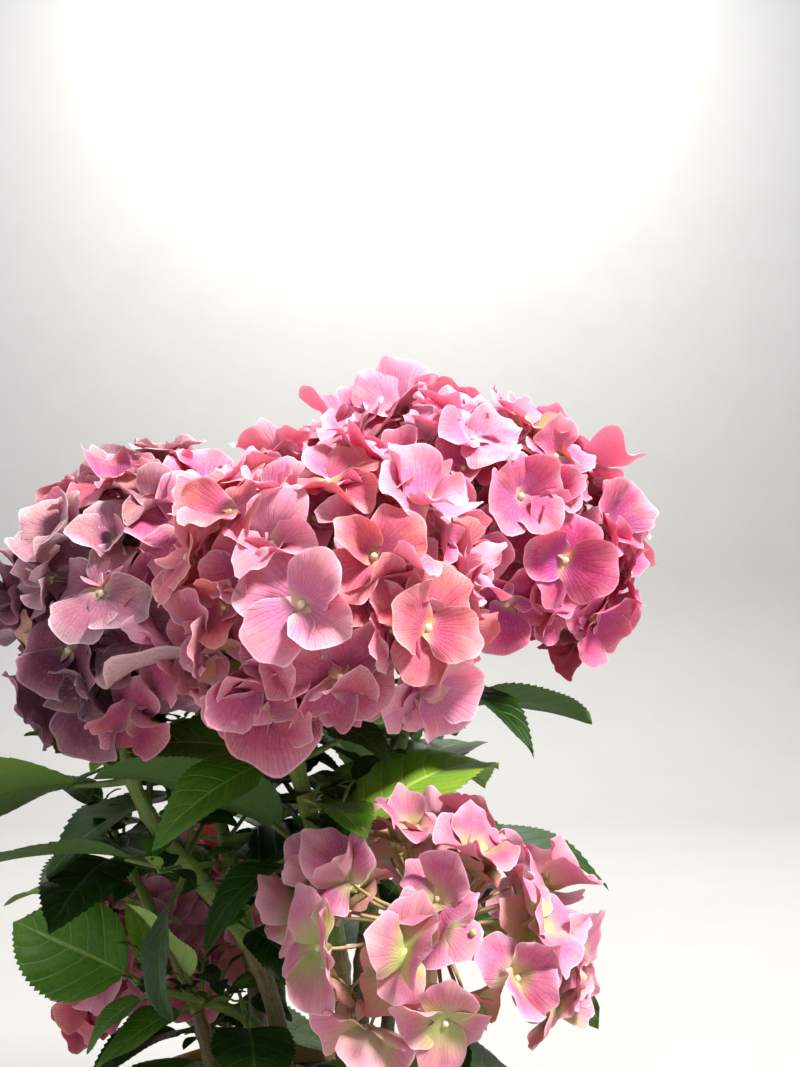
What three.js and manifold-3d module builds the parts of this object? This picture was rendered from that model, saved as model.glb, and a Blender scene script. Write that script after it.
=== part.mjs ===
// A potted hydrangea shrub in flower, in millimetres, +Z up. The origin is the middle of the pot's
// flat underside, and the viewer stands on the -Y side.
//
// Each shoot is a bare cane that rises from the potting mix, then a mass of foliage on the same
// curve, and on most shoots a mophead bloom. Every mass keeps to its own space.

import * as THREE from 'three';
import { mergeVertices } from 'three/addons/utils/BufferGeometryUtils.js';
import Module from 'manifold-3d';

const wasm = await Module();
wasm.setup();

// Driving dimensions
const gap = 0.3; // between pieces that touch in life

const potHeight = 220;
const rimRadius = 130; // outside of the lip
const lipHeight = 16;
const lipProud = 4; // how far the lip stands out from the wall
const lipRound = 1.5;
const footRadius = 93;
const footHeight = 14; // the recessed ring that the pot stands on
const footRecess = 2;
const footSlope = 1; // how much the ring widens towards its top
const wall = 3;
const potSides = 36;

const fillDepth = 11; // from the rim down to the potting mix
const fillDip = 3; // how much lower the mix lies along the wall
const fillFlat = 80; // radius of its level middle

const caneSides = 6;
const caneSteps = 3;
const stemSteps = 5;
const stemSides = 5;
const petioleSides = 3;
const petioleRadius = 1.5;
const petioleTaper = 0.5;
const petioleShare = 0.24; // of the length of its blade
const petioleSunk = 0.12; // how far along the blade its end lies

const leafWidth = 0.64; // of its length
const leafThick = 1.8;
const leafFold = 0.2; // how steeply the halves rise from the midrib
const leafRows = [[0.16, 0.7], [0.42, 1], [0.74, 0.66]]; // place along the blade, share of its width
const leafArch = 38; // degrees that a blade turns down from base to tip
const leafStray = { turn: 10, lift: 8, roll: 16, length: 0.12 }; // how widely leaves vary
const leafRises = [0, 12, -12, 24]; // a crowded leaf tries each of these lifts with each of these
const leafSwings = [0, 12, -12, 24, -24, 38, -38]; // turns before it is left out

const shoulderTurn = 27; // degrees from a sepal's middle to its shoulders
const notchReach = 0.6; // of the floret's radius, between two sepals
const notchRaise = 0.3; // of the floret's cup
const sepalRaise = [0.65, 1.35]; // of the floret's cup, for one pair of sepals and the other
const floretThick = 2.4;
const pedicelRadius = 1.3;
const coreShare = 0.76; // of the bloom's radii, unless the bloom is a loose one
const rootShare = 0.6; // of the core's radii, where a floret's stalk ends
const goldenTurn = Math.PI * (3 - Math.sqrt(5)); // from each floret to the next
const floretTurnStray = 0.5;
const floretTilt = 0.3;
const floretReaches = [0.95, 1.04]; // of the dome's radii
const floretSizes = [0.88, 1.12]; // of the bloom's usual size
const floretCups = [0.12, 0.42]; // how far the sepals rise, as a share of their length

const colours = {
  pot: 0xb9802a,
  mix: 0x8d7a66,
  cane: 0x6f6a3c,
  leaf: 0x3d6b2a,
  pink: 0xe27a9c,
  pale: 0xf0a9bd,
  mauve: 0xb4728c,
};

const shootSeeds = 100; // from one shoot's random numbers to the next's
const bloomSeed = 50; // from a shoot's leaves to its bloom

const wallFoot = footRadius - wall;
const wallTop = rimRadius - lipProud - wall;
const fillTop = potHeight - fillDepth;

const up = new THREE.Vector3(0, 0, 1);
const clearOfStems = new THREE.Vector3(0.3, 1, 0); // a direction that no stem or stalk runs along
const radians = THREE.MathUtils.degToRad;

// The shoots
// A shoot's foot stands on the mix. Its curve climbs straight for rise, and comes in to its top
// along lean. girth is its radius at foot and top, and its cane ends at split, a share of the curve.
// The shoots that the viewer sees best come first, because they have the first choice of room.

// One leaf, at a share of the curve: turn is its compass direction in degrees from +X, and lift
// how far its stalk points up. roll tips the blade about its midrib.
function leaf(along, turn, length, lift = 12, roll = 0, arch = leafArch) {
  return { along, turn, length, lift, roll, arch };
}

// Two leaves on opposite sides of one joint of the stem.
function pair(along, turn, length, lift = 12) {
  return [leaf(along, turn, length, lift), leaf(along, turn + 180, length, lift)];
}

const shoots = [
  {
    name: 'side',
    foot: [-12, 28], rise: 66, top: [-77, 2, 291], lean: [-34, -14, 16], girth: [3.8, 2.2], split: 0.38,
    leaves: [
      leaf(0.99, 176, 72, 22, -62, 20), leaf(0.99, 205, 32, -22), leaf(0.98, 150, 40, 58, 0, 10),
      leaf(0.78, 214, 50, 62, 14, 20), leaf(0.78, 224, 46, -8, 0, 30), leaf(0.77, 16, 52, 14, -10),
      leaf(0.52, 296, 66, 4), leaf(0.5, 120, 80, 8),
    ],
  },
  {
    name: 'left',
    foot: [-8, 8], rise: 140, top: [-84, -48, 421], lean: [-8, -4, 74], girth: [4.8, 3.2], split: 0.36,
    leaves: [
      leaf(0.61, 196, 100, 12, 10), leaf(0.62, 258, 58, -36, 50), leaf(0.64, 80, 96, 16),
      leaf(0.9, 176, 92, -2, 14), leaf(0.92, 24, 80, -4), leaf(0.43, 318, 48, -6), leaf(0.43, 140, 90, 6),
      leaf(0.8, 110, 98, 6), leaf(0.5, 40, 88, 10),
    ],
    bloom: {
      at: [-66, -46, 482], radii: [63, 64, 76], axis: [-0.25, -0.15, 1],
      florets: 29, size: 20.5, spread: 122, colour: 'mauve',
    },
  },
  {
    name: 'front',
    foot: [24, -6], rise: 118, top: [-2, -82, 430], lean: [-10, -40, 60], girth: [5.2, 3.6], split: 0.4,
    leaves: [
      leaf(0.62, 178, 88, 16, 24), leaf(0.63, 34, 96, 16, 18), leaf(0.6, 212, 54, 6, 0, 75),
      leaf(0.92, 222, 56, -16, -20), leaf(0.88, 196, 62, -8, -38, 40), leaf(0.9, 48, 96, 2),
      leaf(0.48, 96, 100, 8), leaf(0.5, 150, 92, 10), leaf(0.76, 120, 96, 8), leaf(0.76, 300, 46, -8),
    ],
    bloom: {
      at: [16, -105, 481], radii: [63, 60, 63], axis: [0.05, -0.3, 1],
      florets: 29, size: 20, spread: 122, colour: 'pink',
    },
  },
  {
    name: 'right',
    foot: [26, 20], rise: 118, top: [64, 34, 468], lean: [20, 8, 62], girth: [5.6, 3.8], split: 0.32,
    leaves: [
      leaf(0.74, 238, 68, -34, 0, 20), leaf(0.76, 16, 96, 14, -16), leaf(0.74, 176, 92, 6),
      leaf(0.72, 110, 104, 4), ...pair(0.56, 62, 106), ...pair(0.38, 150, 100, 8), leaf(0.9, 320, 72, -8),
      leaf(0.9, 150, 84, 0), leaf(0.56, 340, 70, 0), leaf(0.62, 200, 84, 10),
    ],
    bloom: {
      at: [84, 40, 537], radii: [102, 96, 76], axis: [0.42, -0.1, 1],
      florets: 46, size: 23, spread: 118, colour: 'pink',
    },
  },
  {
    name: 'low',
    foot: [34, -24], rise: 44, top: [60, -72, 292], lean: [12, -22, 34], girth: [4.2, 3], split: 0.3,
    leaves: [
      leaf(0.72, 318, 62, -8), leaf(0.7, 158, 60, 2), ...pair(0.5, 22, 76, 4), leaf(0.9, 205, 50, -18),
      leaf(0.9, 30, 62, -6),
    ],
    bloom: {
      at: [64, -78, 344], radii: [58, 54, 37], axis: [0.1, -0.35, 1], core: 0.5,
      florets: 22, size: 17.5, spread: 114, colour: 'pale',
    },
  },
  {
    name: 'rear_left',
    foot: [-26, 34], rise: 120, top: [-80, 84, 420], lean: [-12, 14, 66], girth: [5, 3.4], split: 0.34,
    leaves: [
      leaf(0.42, 60, 96, 4), ...pair(0.6, 150, 98), ...pair(0.78, 66, 92), ...pair(0.93, 160, 76, 4),
    ],
    bloom: {
      at: [-84, 90, 474], radii: [66, 64, 56], axis: [-0.2, 0.25, 1],
      florets: 26, size: 21, spread: 118, colour: 'pink',
    },
  },
  {
    name: 'rear_low',
    foot: [-36, 50], rise: 34, top: [-86, 94, 246], lean: [-26, 20, 14], girth: [4.2, 3], split: 0.3,
    leaves: [...pair(0.55, 100, 80, 6), leaf(0.8, 10, 74), leaf(0.82, 230, 62, 0), leaf(0.95, 90, 60)],
    bloom: {
      at: [-96, 98, 284], radii: [62, 58, 50], axis: [-0.3, 0, 1],
      florets: 26, size: 19, spread: 116, colour: 'pale',
    },
  },
  {
    name: 'rear_right',
    foot: [40, 46], rise: 90, top: [70, 118, 396], lean: [10, 22, 54], girth: [4.4, 2.4], split: 0.34,
    leaves: [
      leaf(0.46, 60, 100, 4), ...pair(0.66, 152, 96), ...pair(0.85, 66, 84), ...pair(0.98, 150, 56, 40),
    ],
  },
  {
    name: 'left_leafy',
    foot: [-44, 10], rise: 76, top: [-122, 48, 366], lean: [-26, 8, 52], girth: [4.2, 2.2], split: 0.34,
    leaves: [
      leaf(0.48, 250, 44, 8), leaf(0.7, 165, 84), ...pair(0.88, 90, 72, 14), ...pair(0.99, 170, 48, 42),
    ],
  },
  {
    name: 'rear_leafy',
    foot: [-20, 62], rise: 66, top: [-40, 142, 340], lean: [-8, 26, 48], girth: [4.2, 2.2], split: 0.34,
    leaves: [leaf(0.48, 20, 88, 4), leaf(0.7, 112, 84), leaf(0.88, 26, 70), ...pair(0.97, 136, 56, 34)],
  },
];

// Shared tools

// A repeatable stream of numbers from 0 to 1.
function seeded(seed) {
  let state = seed >>> 0;
  return () => {
    state = (state + 0x6d2b79f5) >>> 0;
    let mixed = Math.imul(state ^ (state >>> 15), state | 1);
    mixed ^= mixed + Math.imul(mixed ^ (mixed >>> 7), mixed | 61);
    return ((mixed ^ (mixed >>> 14)) >>> 0) / 2 ** 32;
  };
}

// A value varied by up to half of spread each way.
function stray(value, spread, random) {
  return value + spread * (random() - 0.5);
}

// A value somewhere in a range.
function within([low, high], random) {
  return low + (high - low) * random();
}

// A solid of given corners and triangular faces.
function solidFrom(corners, faces) {
  const geometry = new THREE.BufferGeometry().setFromPoints(corners);
  geometry.setIndex(faces.flat());
  return solidOf(geometry);
}

// The solid that a closed geometry bounds.
function solidOf(geometry) {
  const bare = geometry.clone();
  for (const name of ['normal', 'uv']) bare.deleteAttribute(name);
  const merged = mergeVertices(bare, 1e-4);
  const vertProperties = Float32Array.from(merged.attributes.position.array);
  const triVerts = Uint32Array.from(merged.index.array);
  return new wasm.Manifold(new wasm.Mesh({ numProp: 3, vertProperties, triVerts }));
}

function geometryOf(solid) {
  const mesh = solid.getMesh();
  const geometry = new THREE.BufferGeometry();
  geometry.setAttribute('position', new THREE.BufferAttribute(mesh.vertProperties, 3));
  geometry.setIndex(new THREE.BufferAttribute(mesh.triVerts, 1));
  geometry.computeVertexNormals();
  return geometry;
}

// Joins solids into one body. A sealed hollow is filled and a loose scrap is dropped, because only
// the outer skin of the largest body is kept.
function fused(solids) {
  const joined = solids.reduce((whole, solid) => whole.add(solid));
  const bodies = joined.decompose();
  return bodies.reduce((best, body) => (body.volume() > best.volume() ? body : best));
}

function boxesMeet(a, b) {
  return [0, 1, 2].every((i) => a.min[i] <= b.max[i] && b.min[i] <= a.max[i]);
}

function touches(piece, others) {
  const box = piece.boundingBox();
  return others.some((other) => boxesMeet(box, other.boundingBox()) && !piece.intersect(other).isEmpty());
}

// The direction of a path at each of its points.
function headings(points) {
  return points.map((point, i) => {
    const ahead = points[Math.min(i + 1, points.length - 1)];
    return ahead.clone().sub(points[Math.max(i - 1, 0)]).normalize();
  });
}

// A round bar along a path of points with a radius at each, closed by ends that are square to it.
function bar(points, radii, sides, directions = headings(points)) {
  const corners = [];
  const faces = [];
  points.forEach((point, i) => {
    const along = directions[i];
    const side = clearOfStems.clone().cross(along).normalize();
    const other = along.clone().cross(side);
    for (let k = 0; k < sides; k += 1) {
      const turn = (2 * Math.PI * k) / sides;
      const rim = side.clone().multiplyScalar(Math.cos(turn)).addScaledVector(other, Math.sin(turn));
      corners.push(point.clone().addScaledVector(rim, radii[i]));
    }
  });
  for (let i = 0; i + 1 < points.length; i += 1) {
    for (let k = 0; k < sides; k += 1) {
      const here = i * sides + k;
      const next = i * sides + ((k + 1) % sides);
      faces.push([here, next, next + sides], [here, next + sides, here + sides]);
    }
  }
  const last = (points.length - 1) * sides;
  for (let k = 1; k + 1 < sides; k += 1) {
    faces.push([0, k + 1, k], [last, last + k, last + k + 1]);
  }
  return solidFrom(corners, faces);
}

// The pot and its fill

// Half of the pot's section, from the middle of its underside round to the middle of its floor.
function potProfile() {
  const lipFoot = potHeight - lipHeight;
  const floor = footHeight + wall;
  return [
    [0, 0], [footRadius - footRecess, 0], [footRadius - footRecess + footSlope, footHeight],
    [footRadius + footSlope, footHeight + footRecess], [rimRadius - lipProud, lipFoot],
    [rimRadius - lipRound, lipFoot + lipRound], [rimRadius, potHeight - lipRound],
    [rimRadius - lipRound, potHeight], [wallTop, potHeight], [wallAt(floor), floor], [0, floor],
  ].map(([x, y]) => new THREE.Vector2(x, y));
}

// The inner radius of the pot at a height.
function wallAt(height) {
  return THREE.MathUtils.mapLinear(height, 0, potHeight, wallFoot, wallTop);
}

// A turned shape about the Z axis.
function turned(profile) {
  return new THREE.LatheGeometry(profile, potSides).rotateX(Math.PI / 2);
}

// Half of the section of the potting mix, which stands clear of the pot all round.
function fillProfile() {
  const floor = footHeight + wall + gap;
  const edge = fillTop - fillDip;
  return [
    [0, floor], [wallAt(floor) - gap, floor], [wallAt(edge) - gap, edge], [fillFlat, fillTop], [0, fillTop],
  ].map(([x, y]) => new THREE.Vector2(x, y));
}

// Stems

// The curve of a shoot, from the potting mix to the top of its stem.
function curveOf(shoot) {
  const foot = new THREE.Vector3(...shoot.foot, fillTop + gap);
  const top = new THREE.Vector3(...shoot.top);
  const climb = foot.clone().addScaledVector(up, shoot.rise);
  return new THREE.CubicBezierCurve3(foot, climb, top.clone().sub(new THREE.Vector3(...shoot.lean)), top);
}

// The length of a shoot's stem between two shares of its curve, grown to test for clearance.
function stretch(shoot, from, to, steps, sides, grown = 0) {
  const curve = curveOf(shoot);
  const places = Array.from({ length: steps + 1 }, (unused, i) => from + ((to - from) * i) / steps);
  const radii = places.map((place) => THREE.MathUtils.lerp(...shoot.girth, place) + grown);
  const directions = places.map((place) => curve.getTangent(place));
  return bar(places.map((place) => curve.getPoint(place)), radii, sides, directions);
}

// A shoot's cane, up to where its foliage starts.
function caneSolid(shoot, grown = 0) {
  return stretch(shoot, 0, shoot.split, caneSteps, caneSides, grown);
}

// The stem inside a shoot's foliage, which meets the cane below it.
function stemSolid(shoot, grown = 0) {
  const start = shoot.split + gap / curveOf(shoot).getLength();
  return stretch(shoot, start, 1, stemSteps, stemSides, grown);
}

// Leaves

// The frame of a blade: from its base along its midrib, across to its left, and out of its face.
function bladeFrame(turn, lift, roll) {
  const level = Math.cos(lift);
  const along = new THREE.Vector3(Math.cos(turn) * level, Math.sin(turn) * level, Math.sin(lift));
  const across = new THREE.Vector3(-Math.sin(turn), Math.cos(turn), 0);
  across.applyAxisAngle(along, roll);
  return { along, across, face: along.clone().cross(across) };
}

// A pointed oval blade, folded along its midrib and arched down, with sharp edges.
function blade(base, frame, length, arch, grown) {
  const bend = radians(arch);
  const place = (share, sideways, raised) => {
    const ahead = (Math.sin(bend * share) / bend) * length;
    const down = ((1 - Math.cos(bend * share)) / bend) * length;
    return base.clone().addScaledVector(frame.along, ahead)
      .addScaledVector(frame.face, raised - down).addScaledVector(frame.across, sideways);
  };
  const half = (length * leafWidth) / 2 + grown;
  const corners = [place(0, 0, 0), place(1, 0, 0)];
  for (const [share, width] of leafRows) {
    const reach = half * width;
    const edge = reach * leafFold;
    const thick = leafThick / 2 + grown;
    corners.push(place(share, reach, edge), place(share, 0, thick), place(share, -reach, edge));
    corners.push(place(share, 0, -thick));
  }
  const faces = [];
  const last = 2 + 4 * (leafRows.length - 1);
  for (let k = 0; k < 4; k += 1) {
    const next = (k + 1) % 4;
    faces.push([0, 2 + next, 2 + k], [1, last + k, last + next]);
    for (let row = 2; row < last; row += 4) {
      faces.push([row + k, row + next, row + 4 + next], [row + k, row + 4 + next, row + 4 + k]);
    }
  }
  return solidFrom(corners, faces);
}

// A leaf's blade and stalk. grown makes both that much fatter, to test for clearance.
function leafSolids(shoot, leafPlan, grown) {
  const root = curveOf(shoot).getPoint(leafPlan.along);
  const frame = bladeFrame(radians(leafPlan.turn), radians(leafPlan.lift), radians(leafPlan.roll));
  const girth = THREE.MathUtils.lerp(...shoot.girth, leafPlan.along);
  const stalk = girth + leafPlan.length * petioleShare;
  const base = root.clone().addScaledVector(frame.along, stalk);
  const sunk = base.clone().addScaledVector(frame.along, leafPlan.length * petioleSunk);
  const radii = [petioleRadius + grown, petioleRadius * petioleTaper + grown];
  return {
    blade: blade(base, frame, leafPlan.length, leafPlan.arch, grown),
    petiole: bar([root, sunk], radii, petioleSides),
  };
}

// A leaf as planned, then turned and lifted a little more each time.
function leafTries(plan) {
  return leafSwings.flatMap((swing) => leafRises.map((rise) => ({
    ...plan, turn: plan.turn + swing, lift: plan.lift + rise,
  })));
}

// A stem with the leaves that have room among the masses already made.
function foliage(shoot, seed, others) {
  const random = seeded(seed);
  const pieces = [stemSolid(shoot)];
  const blades = [];
  for (const plan of shoot.leaves) {
    const varied = {
      ...plan,
      turn: stray(plan.turn, leafStray.turn, random),
      lift: stray(plan.lift, leafStray.lift, random),
      roll: stray(plan.roll, leafStray.roll, random),
      length: plan.length * stray(1, leafStray.length, random),
    };
    const free = leafTries(varied).find((attempt) => {
      const fat = leafSolids(shoot, attempt, gap);
      return !touches(fat.blade, [...others, ...blades]) && !touches(fat.petiole, others);
    });
    if (!free) continue;
    const kept = leafSolids(shoot, free, 0);
    blades.push(kept.blade);
    pieces.push(kept.petiole, kept.blade);
  }
  return fused(pieces);
}

// Blooms

// One floret of four broad sepals, on a stalk that runs to the point root.
function floret(at, out, spin, size, cup, root) {
  const aside = Math.abs(out.z) < 0.9 ? up.clone() : new THREE.Vector3(1, 0, 0);
  const side = aside.cross(out).normalize();
  const other = out.clone().cross(side);
  const place = (turn, reach, raised) => at.clone().addScaledVector(out, raised)
    .addScaledVector(side, Math.cos(turn) * reach).addScaledVector(other, Math.sin(turn) * reach);
  const corners = [place(0, 0, floretThick / 2)];
  const shoulder = radians(shoulderTurn);
  for (let sepal = 0; sepal < 4; sepal += 1) {
    const middle = spin + (sepal * Math.PI) / 2;
    const raised = size * cup * sepalRaise[sepal % 2];
    corners.push(place(middle - shoulder, size, raised), place(middle + shoulder, size, raised));
    corners.push(place(middle + Math.PI / 4, size * notchReach, size * cup * notchRaise));
  }
  for (let k = 0; k < 3; k += 1) {
    corners.push(place(spin + (k * 2 * Math.PI) / 3, pedicelRadius, -floretThick / 2));
  }
  corners.push(root);
  const faces = [];
  for (let k = 0; k < 12; k += 1) {
    const here = 1 + k;
    const next = 1 + ((k + 1) % 12);
    const under = 13 + (Math.floor(k / 4) % 3);
    faces.push([0, here, next], [under, next, here]);
    if (k % 4 === 3) faces.push([under, 13 + ((under - 12) % 3), next]);
  }
  for (let k = 0; k < 3; k += 1) faces.push([13 + k, 16, 13 + ((k + 1) % 3)]);
  return solidFrom(corners, faces);
}

// The turn that stands a bloom's dome along its axis.
function tiltOf(bloom) {
  return new THREE.Quaternion().setFromUnitVectors(up, new THREE.Vector3(...bloom.axis).normalize());
}

// Where the florets of a bloom stand and how each is turned: a spiral over its dome.
function floretPlans(bloom, seed) {
  const random = seeded(seed);
  const tilt = tiltOf(bloom);
  const radii = new THREE.Vector3(...bloom.radii);
  const lowest = Math.cos(radians(bloom.spread));
  return Array.from({ length: bloom.florets }, (unused, i) => {
    const height = 1 - ((i + 0.5) / bloom.florets) * (1 - lowest);
    const turn = stray(i * goldenTurn, floretTurnStray, random);
    const ring = Math.sqrt(1 - height * height);
    const ray = new THREE.Vector3(Math.cos(turn) * ring, Math.sin(turn) * ring, height);
    const reach = within(floretReaches, random);
    const centre = new THREE.Vector3(...bloom.at);
    const offset = ray.clone().multiply(radii).multiplyScalar(reach).applyQuaternion(tilt);
    const nod = new THREE.Vector3(...[0, 0, 0].map((level) => stray(level, floretTilt, random)));
    return {
      at: centre.clone().add(offset),
      out: ray.clone().divide(radii).applyQuaternion(tilt).normalize().add(nod).normalize(),
      spin: random() * 2 * Math.PI,
      size: bloom.size * within(floretSizes, random),
      cup: within(floretCups, random),
      root: centre.clone().addScaledVector(offset, rootShare * (bloom.core ?? coreShare)),
    };
  });
}

// A large box on the other side of the plane where two blooms would meet.
function farSide(bloom, other) {
  const here = new THREE.Vector3(...bloom.at);
  const there = new THREE.Vector3(...other.at);
  const apart = there.clone().sub(here);
  const distance = apart.length();
  const share = (distance ** 2 + bloom.radii[0] ** 2 - other.radii[0] ** 2) / (2 * distance);
  const reach = 4 * bloom.radii[0];
  const middle = here.addScaledVector(apart.normalize(), share - gap + reach / 2);
  const turn = new THREE.Quaternion().setFromUnitVectors(up, apart);
  const box = new THREE.BoxGeometry(reach, reach, reach).applyQuaternion(turn);
  return solidOf(box.translate(middle.x, middle.y, middle.z));
}

// Whether the florets of two blooms could meet.
function crowds(bloom, other) {
  const distance = new THREE.Vector3(...bloom.at).distanceTo(new THREE.Vector3(...other.at));
  return distance < bloom.radii[0] + other.radii[0] + bloom.size;
}

// A bloom's core, stalk and florets, without the florets that would touch one of the stems.
function bloomSolid(shoot, seed, stems) {
  const bloom = shoot.bloom;
  const coreRadii = bloom.radii.map((radius) => radius * (bloom.core ?? coreShare));
  const dome = new THREE.IcosahedronGeometry(1, 1).scale(...coreRadii).applyQuaternion(tiltOf(bloom));
  const core = solidOf(dome.translate(...bloom.at));
  const lean = new THREE.Vector3(...shoot.lean).normalize();
  const foot = new THREE.Vector3(...shoot.top).addScaledVector(lean, gap);
  const girth = shoot.girth[1];
  const stalk = bar([foot, new THREE.Vector3(...bloom.at)], [girth, girth], stemSides, [lean, lean]);
  const florets = floretPlans(bloom, seed)
    .map((f) => floret(f.at, f.out, f.spin, f.size, f.cup, f.root))
    .filter((solid) => !touches(solid, stems));
  const whole = fused([core, stalk, ...florets]);
  const crowding = shoots.filter((s) => s.bloom && s !== shoot && crowds(bloom, s.bloom));
  const cut = crowding.reduce((solid, s) => solid.subtract(farSide(bloom, s.bloom)), whole);
  return fused([cut]);
}

// The whole plant

const plant = new THREE.Group();
const made = []; // the solids so far, which later masses keep clear of

function add(name, geometry, colour, roughness) {
  const material = new THREE.MeshStandardMaterial({ color: colour, roughness, metalness: 0 });
  const mesh = new THREE.Mesh(geometry, material);
  mesh.name = name;
  plant.add(mesh);
}

function addSolid(name, solid, colour, roughness) {
  made.push(solid);
  add(name, geometryOf(solid), colour, roughness);
}

function addTurned(name, profile, colour, roughness) {
  made.push(solidOf(turned(profile)));
  add(name, turned(profile), colour, roughness);
}

addTurned('pot', potProfile(), colours.pot, 0.5);
addTurned('potting_mix', fillProfile(), colours.mix, 0.95);

for (const shoot of shoots) {
  addSolid(`cane_${shoot.name}`, caneSolid(shoot), colours.cane, 0.7);
}

// The room that each shoot's stems need, which no other piece may enter
const stemRoom = shoots.map((shoot) => [caneSolid(shoot, 2 * gap), stemSolid(shoot, 2 * gap)]);

shoots.forEach((shoot, i) => {
  if (!shoot.bloom) return;
  const bloom = bloomSolid(shoot, shootSeeds * (i + 1) + bloomSeed, stemRoom.flat());
  addSolid(`bloom_${shoot.name}`, bloom, colours[shoot.bloom.colour], 0.6);
});

shoots.forEach((shoot, i) => {
  const otherStems = stemRoom.filter((stems, other) => other !== i).flat();
  const mass = foliage(shoot, shootSeeds * (i + 1), [...made, ...otherStems]);
  addSolid(`foliage_${shoot.name}`, mass, colours.leaf, 0.55);
});

export default plant;
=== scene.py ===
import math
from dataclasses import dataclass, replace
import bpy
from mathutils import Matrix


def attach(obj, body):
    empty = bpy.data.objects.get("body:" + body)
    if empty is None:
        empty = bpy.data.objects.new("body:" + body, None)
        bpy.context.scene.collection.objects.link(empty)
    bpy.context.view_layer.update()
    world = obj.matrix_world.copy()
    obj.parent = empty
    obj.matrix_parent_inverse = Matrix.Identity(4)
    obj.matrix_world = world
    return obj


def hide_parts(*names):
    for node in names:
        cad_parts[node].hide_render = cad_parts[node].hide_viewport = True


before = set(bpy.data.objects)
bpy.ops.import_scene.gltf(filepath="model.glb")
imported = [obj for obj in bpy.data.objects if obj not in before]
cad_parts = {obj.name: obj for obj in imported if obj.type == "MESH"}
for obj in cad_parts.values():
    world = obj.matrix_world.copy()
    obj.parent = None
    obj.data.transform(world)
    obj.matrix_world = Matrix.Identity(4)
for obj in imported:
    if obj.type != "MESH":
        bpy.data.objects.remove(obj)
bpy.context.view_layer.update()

# A potted hydrangea in flower, dressed around its frame. Lengths are in millimetres until a mesh is
# made. The shoots, leaves and florets grow by the same seeded rule as the solids, with finer
# twigs, smaller leaves and inner florets added within the same reach.

from types import SimpleNamespace

import bmesh
import bpy
import numpy as np
from mathutils import Vector, kdtree

MM = 0.001  # from millimetres to metres
GAP = 0.3

# Sizes of the pot and its fill

POT_HEIGHT = 220
RIM_RADIUS = 130
LIP_HEIGHT = 16
LIP_PROUD = 4
FOOT_RADIUS = 93
FOOT_HEIGHT = 14
FOOT_RECESS = 2
POT_EDGE = 1.4  # the radius of its rounded edges
WALL = 3
POT_SIDES = 160
FILL_SIDES = 120
FILL_ROWS = 46
FILL_DEPTH = 11
FILL_DIP = 3
FILL_FLAT = 80
FILL_ROUGH = 0.5
FILL_MIDDLE = 20  # inside this radius the mix is ever smoother
WALL_FOOT = FOOT_RADIUS - WALL
WALL_TOP = RIM_RADIUS - LIP_PROUD - WALL
FILL_TOP = POT_HEIGHT - FILL_DEPTH

# Leaves and florets as in the solids, with the angles of leaves in degrees

LEAF_WIDTH = 0.64
LEAF_FOLD = 0.2
LEAF_LIFT = 12
LEAF_ARCH = 38
LEAF_STRAYS = {"turn": 10, "lift": 8, "roll": 16}
LENGTH_STRAY = 0.12
LEAF_RISES = (0, 12, -12, 24)
LEAF_SWINGS = (0, 12, -12, 24, -24, 38, -38)
PETIOLE_SHARE = 0.24
SHOULDER_TURN = 27
SEPAL_RAISE = (0.65, 1.35)
CORE_SHARE = 0.76
ROOT_SHARE = 0.6
GOLDEN_TURN = math.pi * (3 - math.sqrt(5))
FLORET_TURN_STRAY = 0.5
FLORET_TILT = 0.3
FLORET_REACHES = (0.95, 1.04)
FLORET_SIZES = (0.88, 1.12)
FLORET_CUPS = (0.12, 0.42)
SHOOT_SEEDS = 100
BLOOM_SEED = 50

# Florets that are finer than the solids', with their stalks and buds

SAME_POINT = 0.05  # how near a point of the rule lies to a corner of the solid that it made
SEPAL_CELLS = 12
INNER_CELLS = 6
SEPAL_THICK = 0.45
SEPAL_START = -0.05  # a sepal starts behind its floret's middle, as a share of its length
SEPAL_LAYER = 0.5  # between a floret's two pairs of sepals
SEPAL_STRAY = 0.12
OUTER_GROWTH = 1.06  # a rounded sepal reaches as far as the solid's straight-edged one
# The layers of florets inside a bloom: how many for each outer one, their reach, and their size.
INNER_LAYERS = {
    "full": ((1.7, (0.86, 0.97), 0.86), (0.8, (0.66, 0.76), 1.05)),
    "loose": ((0.6, (0.66, 0.86), 0.8),),
}
INNER_WILT = 0.15
# How far by chance a floret strays along its bloom's grade of painted light and shade
SHADE_GRADE_STRAY = 0.25
OLD_FORM = (0.2, 0.1)  # the wilt and the point of a large single sepal
OLD_RAISED = 0.1
EYE_SHARE = 0.16  # of a floret's size
EYE_FLAT = 0.3
BEAD_SHARE = 0.085
BEAD_FLAT = 0.9
BUD_SEED = 7
BUD_REACHES = (0.78, 0.9)
BUD_SIZES = (1.4, 2.6)
BUD_LENGTH = 1.25  # of its radius
STALK_STEPS = 6
STALK_SIDES = 5
STALK_BOW = 0.45
STALK_END = 0.2  # behind its floret's middle
STALK_RADII = (1.0, 0.65)
RACHIS_STEPS = 12
RACHIS_SIDES = 12
RACHIS_GIRTHS = (1.0, 0.8)  # of the green stem's top
ARMS = 7  # that carry a bloom's stalks
ARM_SIDES = 8
ARM_GIRTHS = (0.6, 0.35)  # of the green stem's top
ARM_DROP = 6
ARM_WAY = (0.8, 0.5)  # outwards and upwards
ARM_REACH = 0.8

# Leaves and twigs that are finer than the solids', with their angles in degrees

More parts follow.
